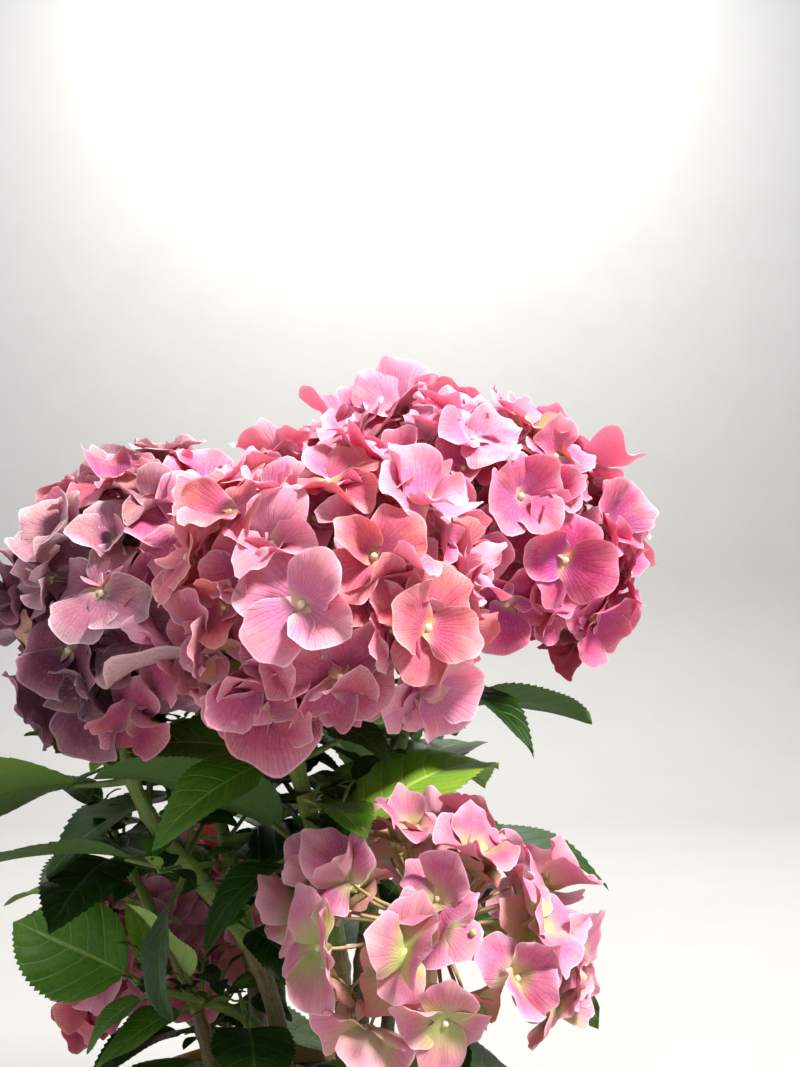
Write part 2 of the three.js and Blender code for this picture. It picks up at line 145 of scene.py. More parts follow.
LEAF_THICK = 0.7
LEAF_CELLS = (44, 14)
TEETH = 0.032  # of a leaf's half width
TOOTH_LEAN = 0.014  # of a leaf's length, as the height of its quilting is
QUILT = 0.013
VEIN_PAIRS = 6.6
VEIN_SWEEP = 0.25
VEIN_BOW = 1.25
PETIOLE_STEPS = 8
PETIOLE_SIDES = 8
PETIOLE_SAG = 0.08  # of its length
PETIOLE_TAPER = (1.35, 0.75)
PETIOLE_LEAST = 1.0
PETIOLE_GROWTH = 0.006  # of its leaf's length
TWIG_STEPS = 6
TWIG_SIDES = 6
TWIG_RADII = (1.5, 0.9)
TWIG_TURN = 25
TWIG_LIFTS = (28, 48)
TWIG_REACHES = (0.2, 0.34)  # of its leaf's length
# Pairs of small leaves: their place along a twig, their sides, lifts, and lengths as shares of its reach.
TWIG_PAIRS = ((0.7, (90, -90), (-5, 25), (1.0, 1.4)), (1.0, (0, 180), (15, 55), (0.7, 1.1)))
SMALL_LEAF_CELLS = (14, 6)
SMALL_LEAF_TURN = 15
SMALL_LEAF_ROLL = 25
SMALL_LEAF_ARCHES = (20, 50)
SMALL_LEAF_THICK = 0.49
SMALL_LEAF_STALK = 0.2  # of its length
SMALL_PETIOLE = 0.6
HALF_LIT_ODDS = (0.2, 0.45)  # of a leaf painted lighter, as painted light, low down and high up
HALF_LIT_HEIGHTS = (300, 420)
SMALL_HALF_LIT_ODDS = 0.3

# Stems, canes and lumps of grit

TUBE_DOME = 0.2
LIMB_SIDES = 16
STEM_STEPS = 90
STEM_ROUGH = 0.03
CANE_STEPS = 60
CANE_ROUGH = 0.07
CANE_JOINTS = (0.45, 0.85)
JOINT_SWELL = 0.2
JOINT_WIDTH = 0.012  # of a shoot's length
FILL_SEED = 11
LUMPS = {  # how many, the least and greatest size, how flat, and the colours
    "mix_pumice": (680, (1.2, 2.8), (1, 1, 0.8), "CFC4B0 B9AC96 8F8470"),
    "mix_gravel": (380, (0.9, 2.2), (1, 1, 0.8), "8C857B 6E675E 4C4640"),
    "mix_bark": (300, (2.4, 5.0), (1, 0.5, 0.28), "6B4A33 4B3223 2C1D15"),
}
LUMP_ROUGH = 0.175
LUMP_STRAY = 0.25
LUMP_LEAN = 0.5
LUMP_SINK = 0.3
CANE_CLEAR = 7
EDGE_CLEAR = 5

# Patterns

TILES = 4  # the pattern map of sepals and of leaves is a square of this many tiles each way
UNDER_ROW = TILES - 1  # the row of tiles for undersides
TILE_HALF = 0.46  # of a tile's width, from its middle to the side of the pattern
TILE_FOOT = 0.04
TILE_LENGTH = 0.92
EYE_PLACE = (1.5 / TILES, 1.07 / TILES)
SOFT_GLOSS = 0.28
STEM_SCALES = ((14, 5, 1), (3, 7, 1), (40, 120, 1))  # of its patterns, round a stem and along it
BED_SCALE = 160.0
LUMP_SCALE = 420.0

# The stage, in millimetres, and the light and camera, in metres

STAGE_FRONT = 2500
STAGE_BACK = 2200
STAGE_BEND = 900
STAGE_HEIGHT = 5600
STAGE_HALF_WIDTH = 4500
STAGE_CELLS = 8
BEND_CELLS = 12
WALL_CELLS = 4
PLANT = (0, 0, 0.42)
WALL_MIDDLE = (0, 3.1, 1.9)
LIGHTS = {  # place, aim, size, power in watts and tone
    "key": ((1.2, -1.0, 2.1), PLANT, 0.4, 112, (1.0, 0.97, 0.93)),
    "fill": ((-1.8, -1.6, 1.1), PLANT, 1.6, 4, (0.92, 0.95, 1.0)),
    "back": ((0.5, 1.9, 1.9), PLANT, 1.2, 14, (1.0, 0.97, 0.94)),
    "wall_wash": ((0, 1.1, 4.3), WALL_MIDDLE, 2.4, 320, (1.0, 1.0, 1.0)),
}
WORLD_TONE = (0.93, 0.96, 1.0, 1.0)
WORLD_STRENGTH = 0.49
FOCAL_SHARE = 802 / 1067  # of the picture's height
SENSOR_HEIGHT = 24  # in millimetres
CAMERA_PLACE = (0.049, -0.447, 0.4505)
CAMERA_TILT = 10  # in degrees, upwards


# The shoots


@dataclass
class Leaf:
    along: float  # its place on the shoot's curve, as a share
    turn: float  # in degrees, as lift, roll and arch are
    length: float
    lift: float = LEAF_LIFT
    roll: float = 0
    arch: float = LEAF_ARCH
    tint: str = None


@dataclass
class Bloom:
    """Its tints change from the first to the last along a direction towards the light, with some
    chance: where the first tints are darker, this paints shade on the side turned from the light and
    painted light on the side towards it. wilt and point shape the sepals, young is the share of inner
    florets that are green, and old lists large single sepals: where each starts, the way it points and
    faces, its length, curl and tint."""

    at: tuple
    radii: tuple
    axis: tuple
    florets: int
    size: float
    spread: float
    tints: tuple
    fade: tuple
    core: float = CORE_SHARE
    wilt: float = 0.0
    point: float = 0.12
    young: float = 0.1
    old: tuple = ()


@dataclass
class Shoot:
    """A curve from a foot on the mix to a top, by its rise at the foot and its lean into the top."""

    name: str
    foot: tuple
    rise: float
    top: tuple
    lean: tuple
    girth: tuple  # its radius at the foot and at the top
    split: float  # where the bare cane ends, as a share
    leaves: list
    bloom: Bloom = None


def pair(along, turn, length, lift=LEAF_LIFT):
    return [Leaf(along, turn, length, lift), Leaf(along, turn + 180, length, lift)]


# A leaf's tint, where one is given, paints it lighter as painted light of sun falling on it.
SHOOTS = [
    Shoot("side", (-12, 28), 66, (-77, 2, 291), (-34, -14, 16), (3.8, 2.2), 0.38, [
        Leaf(0.99, 176, 72, 22, -62, 20, tint="mid"), Leaf(0.99, 205, 32, -22, tint="mid"),
        Leaf(0.98, 150, 40, 58, 0, 10, tint="lit"), Leaf(0.78, 214, 50, 62, 14, 20, tint="lit"),
        Leaf(0.78, 224, 46, -8, 0, 30), Leaf(0.77, 16, 52, 14, -10), Leaf(0.52, 296, 66, 4),
        Leaf(0.5, 120, 80, 8),
    ]),
    Shoot("left", (-8, 8), 140, (-84, -48, 421), (-8, -4, 74), (4.8, 3.2), 0.36, [
        Leaf(0.61, 196, 100, 12, 10), Leaf(0.62, 258, 58, -36, 50), Leaf(0.64, 80, 96, 16),
        Leaf(0.9, 176, 92, -2, 14), Leaf(0.92, 24, 80, -4), Leaf(0.43, 318, 48, -6), Leaf(0.43, 140, 90, 6),
        Leaf(0.8, 110, 98, 6), Leaf(0.5, 40, 88, 10),
    ], Bloom((-66, -46, 482), (63, 64, 76), (-0.25, -0.15, 1), 29, 20.5, 122,
        ("dusk", "mauve", "rose", "pale", "pink"), (0.65, -0.1, 0.8), wilt=0.3, young=0.05, old=[
            ((-26, -112, 468), (-0.94, -0.05, -0.3), (0.1, -0.85, 0.6), 48, 2.6, "pale"),
            ((-86, -88, 446), (0.05, 0.1, -1), (-0.2, -1, 0.1), 36, 1.2, "mauve"),
        ])),
    Shoot("front", (24, -6), 118, (-2, -82, 430), (-10, -40, 60), (5.2, 3.6), 0.4, [
        Leaf(0.62, 178, 88, 16, 24), Leaf(0.63, 34, 96, 16, 18, tint="lit"), Leaf(0.6, 212, 54, 6, 0, 75),
        Leaf(0.92, 222, 56, -16, -20, tint="mid"), Leaf(0.88, 196, 62, -8, -38, 40, tint="mid"),
        Leaf(0.9, 48, 96, 2), Leaf(0.48, 96, 100, 8), Leaf(0.5, 150, 92, 10), Leaf(0.76, 120, 96, 8),
        Leaf(0.76, 300, 46, -8),
    ], Bloom((16, -105, 481), (63, 60, 63), (0.05, -0.3, 1), 29, 20, 122,
        ("rose", "pink", "blush", "coral", "blush", "pink"), (0.3, 0.2, 1), wilt=0.1, old=[
            ((0, -134, 448), (0.12, -0.1, -1), (0.1, -1, -0.1), 30, 1.6, "rose"),
        ])),
    Shoot("right", (26, 20), 118, (64, 34, 468), (20, 8, 62), (5.6, 3.8), 0.32, [
        Leaf(0.74, 238, 68, -34, 0, 20, tint="lit"), Leaf(0.76, 16, 96, 14, -16), Leaf(0.74, 176, 92, 6),
        Leaf(0.72, 110, 104, 4), *pair(0.56, 62, 106), *pair(0.38, 150, 100, 8), Leaf(0.9, 320, 72, -8),
        Leaf(0.9, 150, 84, 0), Leaf(0.56, 340, 70, 0), Leaf(0.62, 200, 84, 10),
    ], Bloom((84, 40, 537), (102, 96, 76), (0.42, -0.1, 1), 46, 23, 118,
        ("bright", "pink", "blush"), (-0.3, 0, 1))),
    Shoot("low", (34, -24), 44, (60, -72, 292), (12, -22, 34), (4.2, 3), 0.3, [
        Leaf(0.72, 318, 62, -8), Leaf(0.7, 158, 60, 2), *pair(0.5, 22, 76, 4), Leaf(0.9, 205, 50, -18),
        Leaf(0.9, 30, 62, -6),
    ], Bloom((64, -78, 344), (58, 54, 37), (0.1, -0.35, 1), 22, 17.5, 114,
        ("cream", "shell"), (0.2, 0, 0.3), core=0.5, point=0.3, young=0.6)),
    Shoot("rear_left", (-26, 34), 120, (-80, 84, 420), (-12, 14, 66), (5, 3.4), 0.34, [
        Leaf(0.42, 60, 96, 4), *pair(0.6, 150, 98), *pair(0.78, 66, 92), *pair(0.93, 160, 76, 4),
    ], Bloom((-84, 90, 474), (66, 64, 56), (-0.2, 0.25, 1), 26, 21, 118,
        ("bright", "pink", "blush"), (-0.3, 0, 1))),
    Shoot("rear_low", (-36, 50), 34, (-86, 94, 246), (-26, 20, 14), (4.2, 3), 0.3, [
        *pair(0.55, 100, 80, 6), Leaf(0.8, 10, 74), Leaf(0.82, 230, 62, 0), Leaf(0.95, 90, 60),
    ], Bloom((-96, 98, 284), (62, 58, 50), (-0.3, 0, 1), 26, 19, 116,
        ("pink", "blush", "coral", "blush"), (-0.4, 0, 1))),
    Shoot("rear_right", (40, 46), 90, (70, 118, 396), (10, 22, 54), (4.4, 2.4), 0.34, [
        Leaf(0.46, 60, 100, 4), *pair(0.66, 152, 96), *pair(0.85, 66, 84), *pair(0.98, 150, 56, 40),
    ]),
    Shoot("left_leafy", (-44, 10), 76, (-122, 48, 366), (-26, 8, 52), (4.2, 2.2), 0.34, [
        Leaf(0.48, 250, 44, 8), Leaf(0.7, 165, 84), *pair(0.88, 90, 72, 14), *pair(0.99, 170, 48, 42),
    ]),
    Shoot("rear_leafy", (-20, 62), 66, (-40, 142, 340), (-8, 26, 48), (4.2, 2.2), 0.34, [
        Leaf(0.48, 20, 88, 4), Leaf(0.7, 112, 84), Leaf(0.88, 26, 70), *pair(0.97, 136, 56, 34),
    ]),
]


# Seeded numbers and vectors


def seeded(seed):
    """A repeatable stream of numbers from 0 to 1, the same as the one that made the solids."""
    mask = 2**32 - 1
    state = seed

    def random():
        nonlocal state
        state = (state + 0x6D2B79F5) & mask
        mixed = ((state ^ state >> 15) * (state | 1)) & mask
        mixed ^= (mixed + ((mixed ^ mixed >> 7) * (mixed | 61) & mask)) & mask
        return (mixed ^ mixed >> 14) / 2**32

    return random


def stray(value, spread, random):
    return value + spread * (random() - 0.5)


def within(ends, random):
    return ends[0] + (ends[1] - ends[0]) * random()


def vec(*values):
    return np.array(values, dtype=float)


def unit(vectors):
    return vectors / np.linalg.norm(vectors, axis=-1, keepdims=True)


def turn_to(axis):
    """The least turn that brings +Z to an axis, as a matrix."""
    x, y, z = unit(vec(*axis))
    skew = np.array([[0, 0, x], [0, 0, y], [-x, -y, 0]])
    return np.eye(3) + skew + skew @ skew / (1 + z)


def around(side, other, angle):
    """A direction between two square ones, or a row of them for a row of angles."""
    return np.multiply.outer(np.cos(angle), side) + np.multiply.outer(np.sin(angle), other)


def turns(sides):
    return np.linspace(0, 2 * math.pi, sides, endpoint=False)


def bowed(start, bend, end, steps):
    """Points along a curve that leaves its start towards a bend and comes to its end from there."""
    share = np.linspace(0, 1, steps)[:, None]
    return (1 - share) ** 2 * start + 2 * share * (1 - share) * bend + share**2 * end


def straight(start, end, steps):
    return start + (end - start) * np.linspace(0, 1, steps)[:, None]


def turned_about(vector, axis, angle):
    """A vector turned about a unit axis that it is square to."""
    return vector * math.cos(angle) + np.cross(axis, vector) * math.sin(angle)


def smooth(low, high, value):
    share = np.clip((value - low) / (high - low), 0, 1)
    return share * share * (3 - 2 * share)


# Piles of faces, each of which becomes one joined piece


class Pile:
    """Points, faces and pattern places gathered for one piece. rim marks the points of a sharp edge."""

    def __init__(self):
        self.points = []
        self.rim = []
        self.faces = []
        self.places = []
        self.count = 0

    def add(self, points, *blocks, rim=None):
        """Each block is some faces, and a pattern place for each of their corners, or None."""
        points = points.reshape(-1, 3)
        self.points.append(points)
        self.rim.append(np.zeros(len(points), bool) if rim is None else rim)
        for faces, places in blocks:
            self.faces.append(faces + self.count)
            if places is not None:
                self.places.append(places.reshape(-1))
        self.count += len(points)

    def mesh(self, name):
        mesh = bpy.data.meshes.new(name)
        faces = [face for block in self.faces for face in block.tolist()]
        mesh.from_pydata((np.concatenate(self.points) * MM).tolist(), [], faces)
        if self.places:
            layer = mesh.uv_layers.new(name="OFBake")
            layer.data.foreach_set("uv", np.concatenate(self.places))
        mesh.shade_smooth()
        ends = np.empty(2 * len(mesh.edges), dtype=np.int32)
        mesh.edges.foreach_get("vertices", ends)
        sharp = np.concatenate(self.rim)[ends.reshape(-1, 2)].all(axis=1)
        mesh.attributes.new("sharp_edge", "BOOLEAN", "EDGE").data.foreach_set("value", sharp)
        return mesh


def grid_faces(rows, columns):
    """The faces of a grid of points, each turned so that rows cross columns gives its outside."""
    index = np.arange(rows * columns).reshape(rows, columns)
    corners = (index[:-1, :-1], index[1:, :-1], index[1:, 1:], index[:-1, 1:])
    return np.stack(corners, axis=-1).reshape(-1, 4)


def grid_normals(grid):
    down = np.gradient(grid, axis=0)
    over = np.gradient(grid, axis=1)
    return unit(np.cross(down, over) + 1e-12)


def add_sheet(pile, grid, over, under, thick):
    """A thin closed sheet on a grid of points. over and under are its pattern places on each side."""
    rows, columns = grid.shape[:2]
    edge = np.ones((rows, columns), bool)
    edge[1:-1, 1:-1] = False
    lift = grid_normals(grid) * thick / 2
    lift[edge] = 0
    inner = ~edge
    back = np.arange(rows * columns).reshape(rows, columns)
    back[inner] = rows * columns + np.arange(inner.sum())
    front_faces = grid_faces(rows, columns)
    back_faces = back.reshape(-1)[front_faces][:, ::-1]
    points = np.concatenate([(grid + lift).reshape(-1, 3), (grid - lift)[inner]])
    rim = np.concatenate([edge.reshape(-1), np.zeros(inner.sum(), bool)])
    front = (front_faces, over.reshape(-1, 2)[front_faces])
    behind = (back_faces, under.reshape(-1, 2)[front_faces][:, ::-1])
    pile.add(points, front, behind, rim=rim)


def add_rings(pile, rows, ends, place=None):
    """A closed body from rings of points, and the middle of its first and last end. place is its
    low and high pattern place round it, then along it."""
    steps, sides = rows.shape[:2]
    ring = np.arange(sides)
    following = (ring + 1) % sides
    start = np.arange(steps - 1)[:, None] * sides
    near, far = start + ring, start + following
    walls = np.stack([near, far, far + sides, near + sides], axis=-1)
    first = np.stack([np.full(sides, steps * sides), following, ring], axis=-1)
    last = (steps - 1) * sides + np.stack([ring, following, np.full(sides, sides + 1)], axis=-1)
    wall_places = first_places = last_places = None
    if place:
        low_u, high_u, low_v, high_v = place
        u = low_u + (high_u - low_u) * np.stack([ring, ring + 1, ring + 1, ring], axis=-1) / sides
        v = low_v + (high_v - low_v) * (np.arange(steps - 1)[:, None] + vec(0, 0, 1, 1)) / (steps - 1)
        wall_places = np.stack(np.broadcast_arrays(u[None], v[:, None]), axis=-1)
        first_places = np.broadcast_to(vec(low_u, low_v), (sides, 3, 2))
        last_places = np.broadcast_to(vec(low_u, high_v), (sides, 3, 2))
    points = np.concatenate([rows.reshape(-1, 3), ends])
    pile.add(points, (walls.reshape(-1, 4), wall_places), (first, first_places), (last, last_places))


def add_tube(pile, path, radii, sides, relief=1.0):
    """A closed tube along a path, with slightly domed ends."""
    along = unit(np.gradient(path, axis=0))
    side = unit(np.cross(vec(0.3, 1, 0.02), along))
    other = np.cross(along, side)
    turn = turns(sides)
    rim = np.cos(turn)[None, :, None] * side[:, None] + np.sin(turn)[None, :, None] * other[:, None]
    reach = np.broadcast_to(np.asarray(radii)[:, None] * relief, (len(path), sides))
    ends = [path[0] - TUBE_DOME * along[0], path[-1] + TUBE_DOME * along[-1]]
    add_rings(pile, path[:, None] + rim * reach[..., None], ends, (0, 1, 0, 1))


def add_taper(pile, path, radii, sides):
    """A tube that narrows evenly from its first radius to its last."""
    add_tube(pile, path, np.linspace(*radii, len(path)), sides)


def unit_ball():
    """The points and faces of a coarse ball of radius 1."""
    bm = bmesh.new()
    bmesh.ops.create_icosphere(bm, subdivisions=1, radius=1)
    points = np.array([v.co[:] for v in bm.verts])
    faces = np.array([[v.index for v in f.verts] for f in bm.faces])
    bm.free()
    return points, faces


BALL_POINTS, BALL_FACES = unit_ball()


def add_ball(pile, at, axes, radii, middle=(0.5, 0.5), spread=0.49):
    """A rounded body at a point, with its radii along three axes, and its pattern about a middle."""
    places = vec(*middle) + spread * BALL_POINTS[:, :2]
    pile.add(at + (BALL_POINTS * radii) @ np.array(axes), (BALL_FACES, places[BALL_FACES]))


def add_lump(pile, at, axes, radii, rng):
    """A rough stone or scrap, with no pattern place."""
    rough = BALL_POINTS * rng.uniform(1 - LUMP_ROUGH, 1 + LUMP_ROUGH, (len(BALL_POINTS), 1))
    pile.add(at + (rough * radii) @ np.array(axes), (BALL_FACES, None))


# Curves, leaves and blooms by the rule


def curve_point(plan, share):
    """A place on a shoot's curve."""
    foot = vec(*plan.foot, FILL_TOP + GAP)
    top = vec(*plan.top)
    climb = foot + vec(0, 0, plan.rise)
    bend = top - vec(*plan.lean)
    rest = 1 - share
    return rest**3 * foot + 3 * rest**2 * share * climb + 3 * rest * share**2 * bend + share**3 * top


def girth_at(plan, share):
    """A shoot's radius at a place on its curve."""
    return plan.girth[0] + (plan.girth[1] - plan.girth[0]) * share


def blade_frame(turn, lift, roll):
    """From a blade's base along its midrib, across to its left, and out of its face."""
    turn, lift, roll = map(math.radians, (turn, lift, roll))
    along = vec(math.cos(turn) * math.cos(lift), math.sin(turn) * math.cos(lift), math.sin(lift))
    across = turned_about(vec(-math.sin(turn), math.cos(turn), 0), along, roll)
    return along, across, np.cross(along, across)


def blade_base(plan, leaf, axes):
    """Where a leaf's stalk starts, in the stem's middle, and where its blade does."""
    root = curve_point(plan, leaf.along)
    stalk = girth_at(plan, leaf.along) + leaf.length * PETIOLE_SHARE
    return root, root + axes[0] * stalk


def blade_point(base, axes, length, arch, share, sideways, raised):
    """Places on an arched blade: share of its length, and distances across and out of its face."""
    bend = math.radians(arch)
    ahead = np.sin(bend * share) / bend * length
    down = (1 - np.cos(bend * share)) / bend * length
    return (base + np.multiply.outer(ahead, axes[0]) + np.multiply.outer(raised - down, axes[2])
            + np.multiply.outer(sideways, axes[1]))


def corner_tree(node):
    """A search tree of the corners of a solid, in millimetres."""
    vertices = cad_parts[node].data.vertices
    tree = kdtree.KDTree(len(vertices))
    for i, vertex in enumerate(vertices):
        tree.insert(vertex.co / MM, i)
    tree.balance()
    return tree


def has_corner(tree, points):
    return any(tree.find(Vector(point))[2] < SAME_POINT for point in points)


def leaves_of(plan, seed):
    """The leaves that a shoot's solid has, each as it was swung and lifted to find room."""
    random = seeded(seed)
    tree = corner_tree(f"foliage_{plan.name}")
    kept = []
    for planned in plan.leaves:
        angles = {name: stray(getattr(planned, name), spread, random) for name, spread in LEAF_STRAYS.items()}
        varied = replace(planned, length=planned.length * stray(1, LENGTH_STRAY, random), **angles)
        for swing in LEAF_SWINGS:
            swung = replace(varied, turn=varied.turn + swing)
            tries = [replace(swung, lift=swung.lift + rise) for rise in LEAF_RISES]
            found = [leaf for leaf in tries if has_corner(tree, [leaf_tip(plan, leaf)])]
            if found:
                kept.append(found[0])
                break
    return kept


def leaf_tip(plan, leaf):
    axes = blade_frame(leaf.turn, leaf.lift, leaf.roll)
    base = blade_base(plan, leaf, axes)[1]
    return blade_point(base, axes, leaf.length, leaf.arch, 1.0, 0.0, 0.0)


def dome_plans(flower, count, reaches, random):
    """Florets in a spiral over a bloom's dome."""
    tilt = turn_to(flower.axis)
    radii = vec(*flower.radii)
    centre = vec(*flower.at)
    lowest = math.cos(math.radians(flower.spread))
    plans = []
    for i in range(count):
        height = 1 - (i + 0.5) / count * (1 - lowest)
        turn = stray(i * GOLDEN_TURN, FLORET_TURN_STRAY, random)
        ring = math.sqrt(1 - height * height)
        ray = vec(math.cos(turn) * ring, math.sin(turn) * ring, height)
        offset = tilt @ (ray * radii * within(reaches, random))
        nod = vec(*(stray(0, FLORET_TILT, random) for _ in range(3)))
        plans.append(SimpleNamespace(
            at=centre + offset,
            out=unit(unit(tilt @ (ray / radii)) + nod),
            spin=random() * 2 * math.pi,
            size=flower.size * within(FLORET_SIZES, random),
            cup=within(FLORET_CUPS, random),
            root=centre + offset * ROOT_SHARE * flower.core,
        ))
    return plans


def floret_axes(out):
    aside = vec(0, 0, 1) if abs(out[2]) < 0.9 else vec(1, 0, 0)
    side = unit(np.cross(aside, out))
    return side, np.cross(out, side), out


def shoulders(floret):
    """The outer corners that a floret has in its bloom's solid."""
    side, other, out = floret_axes(floret.out)
    turn = math.radians(SHOULDER_TURN)
    points = []
    for sepal in range(4):
        raised = floret.size * floret.cup * SEPAL_RAISE[sepal % 2]
        for angle in (-turn, turn):
            middle = floret.spin + sepal * math.pi / 2 + angle
            points.append(floret.at + floret.size * around(side, other, middle) + out * raised)
    return points


def florets_of(plan, seed):
    """The florets that a bloom's solid has."""
    tree = corner_tree(f"bloom_{plan.name}")
    flower = plan.bloom
    plans = dome_plans(flower, flower.florets, FLORET_REACHES, seeded(seed))
    return [floret for floret in plans if has_corner(tree, shoulders(floret))]


# Node materials


class Shades:
    """Builds the nodes of one material from short calls."""

    def __init__(self, name):
        self.material = bpy.data.materials.new(name)
        self.material.use_nodes = True
        self.tree = self.material.node_tree
        self.tree.nodes.clear()

    def node(self, kind, inputs=(), output=0, **settings):
        node = self.tree.nodes.new(kind)
        for name, value in settings.items():
            setattr(node, name, value)
        for name, value in dict(inputs).items():
            if isinstance(value, bpy.types.NodeSocket):
                self.tree.links.new(value, node.inputs[name])
            else:
                node.inputs[name].default_value = value
        return node.outputs[output]

    def math(self, operation, *values):
        return self.node("ShaderNodeMath", enumerate(values), operation=operation)

    def add(self, a, b):
        return self.math("ADD", a, b)

    def less(self, a, b):
        return self.math("SUBTRACT", a, b)

    def times(self, a, b):
        return self.math("MULTIPLY", a, b)

    def ramp(self, value, low, high, to_low=0.0, to_high=1.0):
        """A smooth step of a value from one range to another."""
        inputs = {"Value": value, "From Min": low, "From Max": high, "To Min": to_low, "To Max": to_high}
        return self.node("ShaderNodeMapRange", inputs, interpolation_type="SMOOTHSTEP")

    def stripes(self, phase):
        """0 along lines that lie one apart, and 1 halfway between them."""
        return self.times(self.math("PINGPONG", phase, 0.5), 2.0)

    def vector(self, operation, *values):
        return self.node("ShaderNodeVectorMath", enumerate(values), operation=operation)

    def length(self, x, y):
        return self.node("ShaderNodeVectorMath", {0: self.join(x, y)}, output=1, operation="LENGTH")

    def split(self, vector):
        return self.node("ShaderNodeSeparateXYZ", {0: vector}, output=slice(0, 3))

    def join(self, x, y, z=0.0):
        return self.node("ShaderNodeCombineXYZ", {0: x, 1: y, 2: z})

    def noise(self, vector, scale, detail=2.0, roughness=0.5):
        inputs = {"Vector": vector, "Scale": scale, "Detail": detail, "Roughness": roughness}
        return self.node("ShaderNodeTexNoise", inputs)

    def mix(self, share, a, b):
        """A colour between two others."""
        return self.node("ShaderNodeMix", {0: share, 6: a, 7: b}, output=2, data_type="RGBA")

    def cover(self, shade, *layers):
        """A colour with others laid over it in turn, each by its share."""
        for share, over in layers:
            shade = self.mix(share, shade, over)
        return shade

    def places(self):
        return self.node("ShaderNodeUVMap", uv_map="OFBake")

    def object_place(self):
        return self.node("ShaderNodeTexCoord", output=3)

    def bump(self, height, strength, distance):
        inputs = {"Strength": strength, "Distance": distance * MM, "Height": height}
        return self.node("ShaderNodeBump", inputs)

    def finish(self, shade, roughness, glow=0.0, through=None, **constants):
        """The surface shader. glow is the share of light that passes through a thin leaf or petal,
        and through is the colour that it takes on there."""
        inputs = {"Base Color": shade, "Roughness": roughness, **constants}
        shader = self.node("ShaderNodeBsdfPrincipled", inputs)
        if glow:
            passing = self.node("ShaderNodeBsdfTranslucent", {"Color": through or shade})
            shader = self.node("ShaderNodeMixShader", {0: glow, 1: shader, 2: passing})
        output = self.tree.nodes.new("ShaderNodeOutputMaterial")
        self.tree.links.new(shader, output.inputs["Surface"])
        return self.material


def colour(code):
    """A colour written as in a web page, as the shader needs it."""
    parts = [int(code[i:i + 2], 16) / 255 for i in (0, 2, 4)]
    linear = [part / 12.92 if part <= 0.04045 else ((part + 0.055) / 1.055) ** 2.4 for part in parts]
    return (*linear, 1.0)


def colours(codes):
    return map(colour, codes.split())


def tile_space(s):
    """Across from -1 to 1 and along from 0 to 1 in a tile, whether it is an underside's, and chance."""
    grown = s.vector("MULTIPLY", s.places(), (TILES, TILES, 1))
    tile = s.vector("FLOOR", grown)
    x, y, _ = s.split(s.vector("FRACTION", grown))
    across = s.times(s.less(x, 0.5), 1 / TILE_HALF)
    along = s.times(s.less(y, TILE_FOOT), 1 / TILE_LENGTH)
    chance = s.node("ShaderNodeTexWhiteNoise", {"Vector": tile}, noise_dimensions="3D")
    under = s.math("GREATER_THAN", s.split(tile)[1], UNDER_ROW - 0.5)
    return grown, across, along, under, chance


def tile_places(across, along, rng, row=None):
    """Pattern places in a tile of the map, of any row but the last unless a row is given."""
    column = int(rng.integers(TILES))
    if row is None:
        row = int(rng.integers(UNDER_ROW))
    x = (column + 0.5 + TILE_HALF * across) / TILES
    y = (row + TILE_FOOT + TILE_LENGTH * along) / TILES
    return np.stack([x, y], axis=-1)


# The tints are partly the florets' own colours and partly painted light and shade: dusk and mauve are the
# left bloom's own aged mauve, darkened further as painted shade, and bright, pink and blush are lightened as
# painted light.
PETALS = {  # body, second body colour, edge and painted rim highlight, blush near the middle, heart, veins and warm patches
    "pink": "F286B2 E25A94 FFD6E4 CE60B4 F3E6AA C03A7C F49AA0",
    "blush": "F6A8C6 EE8AB4 FFDEEA DA80C4 F5EDBC D05C98 F8B0B0",
    "bright": "F06CA6 DC3E86 FFB8D2 C84CAE F3DAA2 AE2A72 F2869A",
    "rose": "E26A90 C84A78 F8C2D0 B04E9A EDD89A 96325E EA8272",
    "mauve": "9C4A66 7C3450 D6A0B2 80346C C8B880 66284A BE7064",
    "dusk": "8E5268 703C56 CCA6B4 743A6C B4A674 582842 A4665A",
    "pale": "D690A6 BE6E88 F2DCE2 B87098 EEE0B0 984462 EAAC98",
    "coral": "F2849A E66482 FFCCCC D05898 F2D68C C44468 F6A088",
    "cream": "E87EAA ECA0B6 FAD0DE E8D29A CCDA7C CC5C90 F4BCA0",
    "shell": "EA8CB4 DC70A2 FAD2E2 DC9CC0 DEE694 C25292 F6B4AC",
    "young": "F0CEA8 F0BCAE F6B4BE DEDE88 B6CA66 D09880 F0B68A",
}
MATURE = {"dusk": 0.5, "mauve": 0.5, "pale": 0.5, "coral": 0.36, "rose": 0.34, "pink": 0.14}  # how freckled
HEARTS = {"cream": 0.74, "shell": 0.55, "young": 0.9}  # how far out a large heart reaches
SMALL_HEART = 0.22
PETAL_VEINS = 8.5
PETAL_TWIGS = 26.0
PETAL_GLOW = 0.38


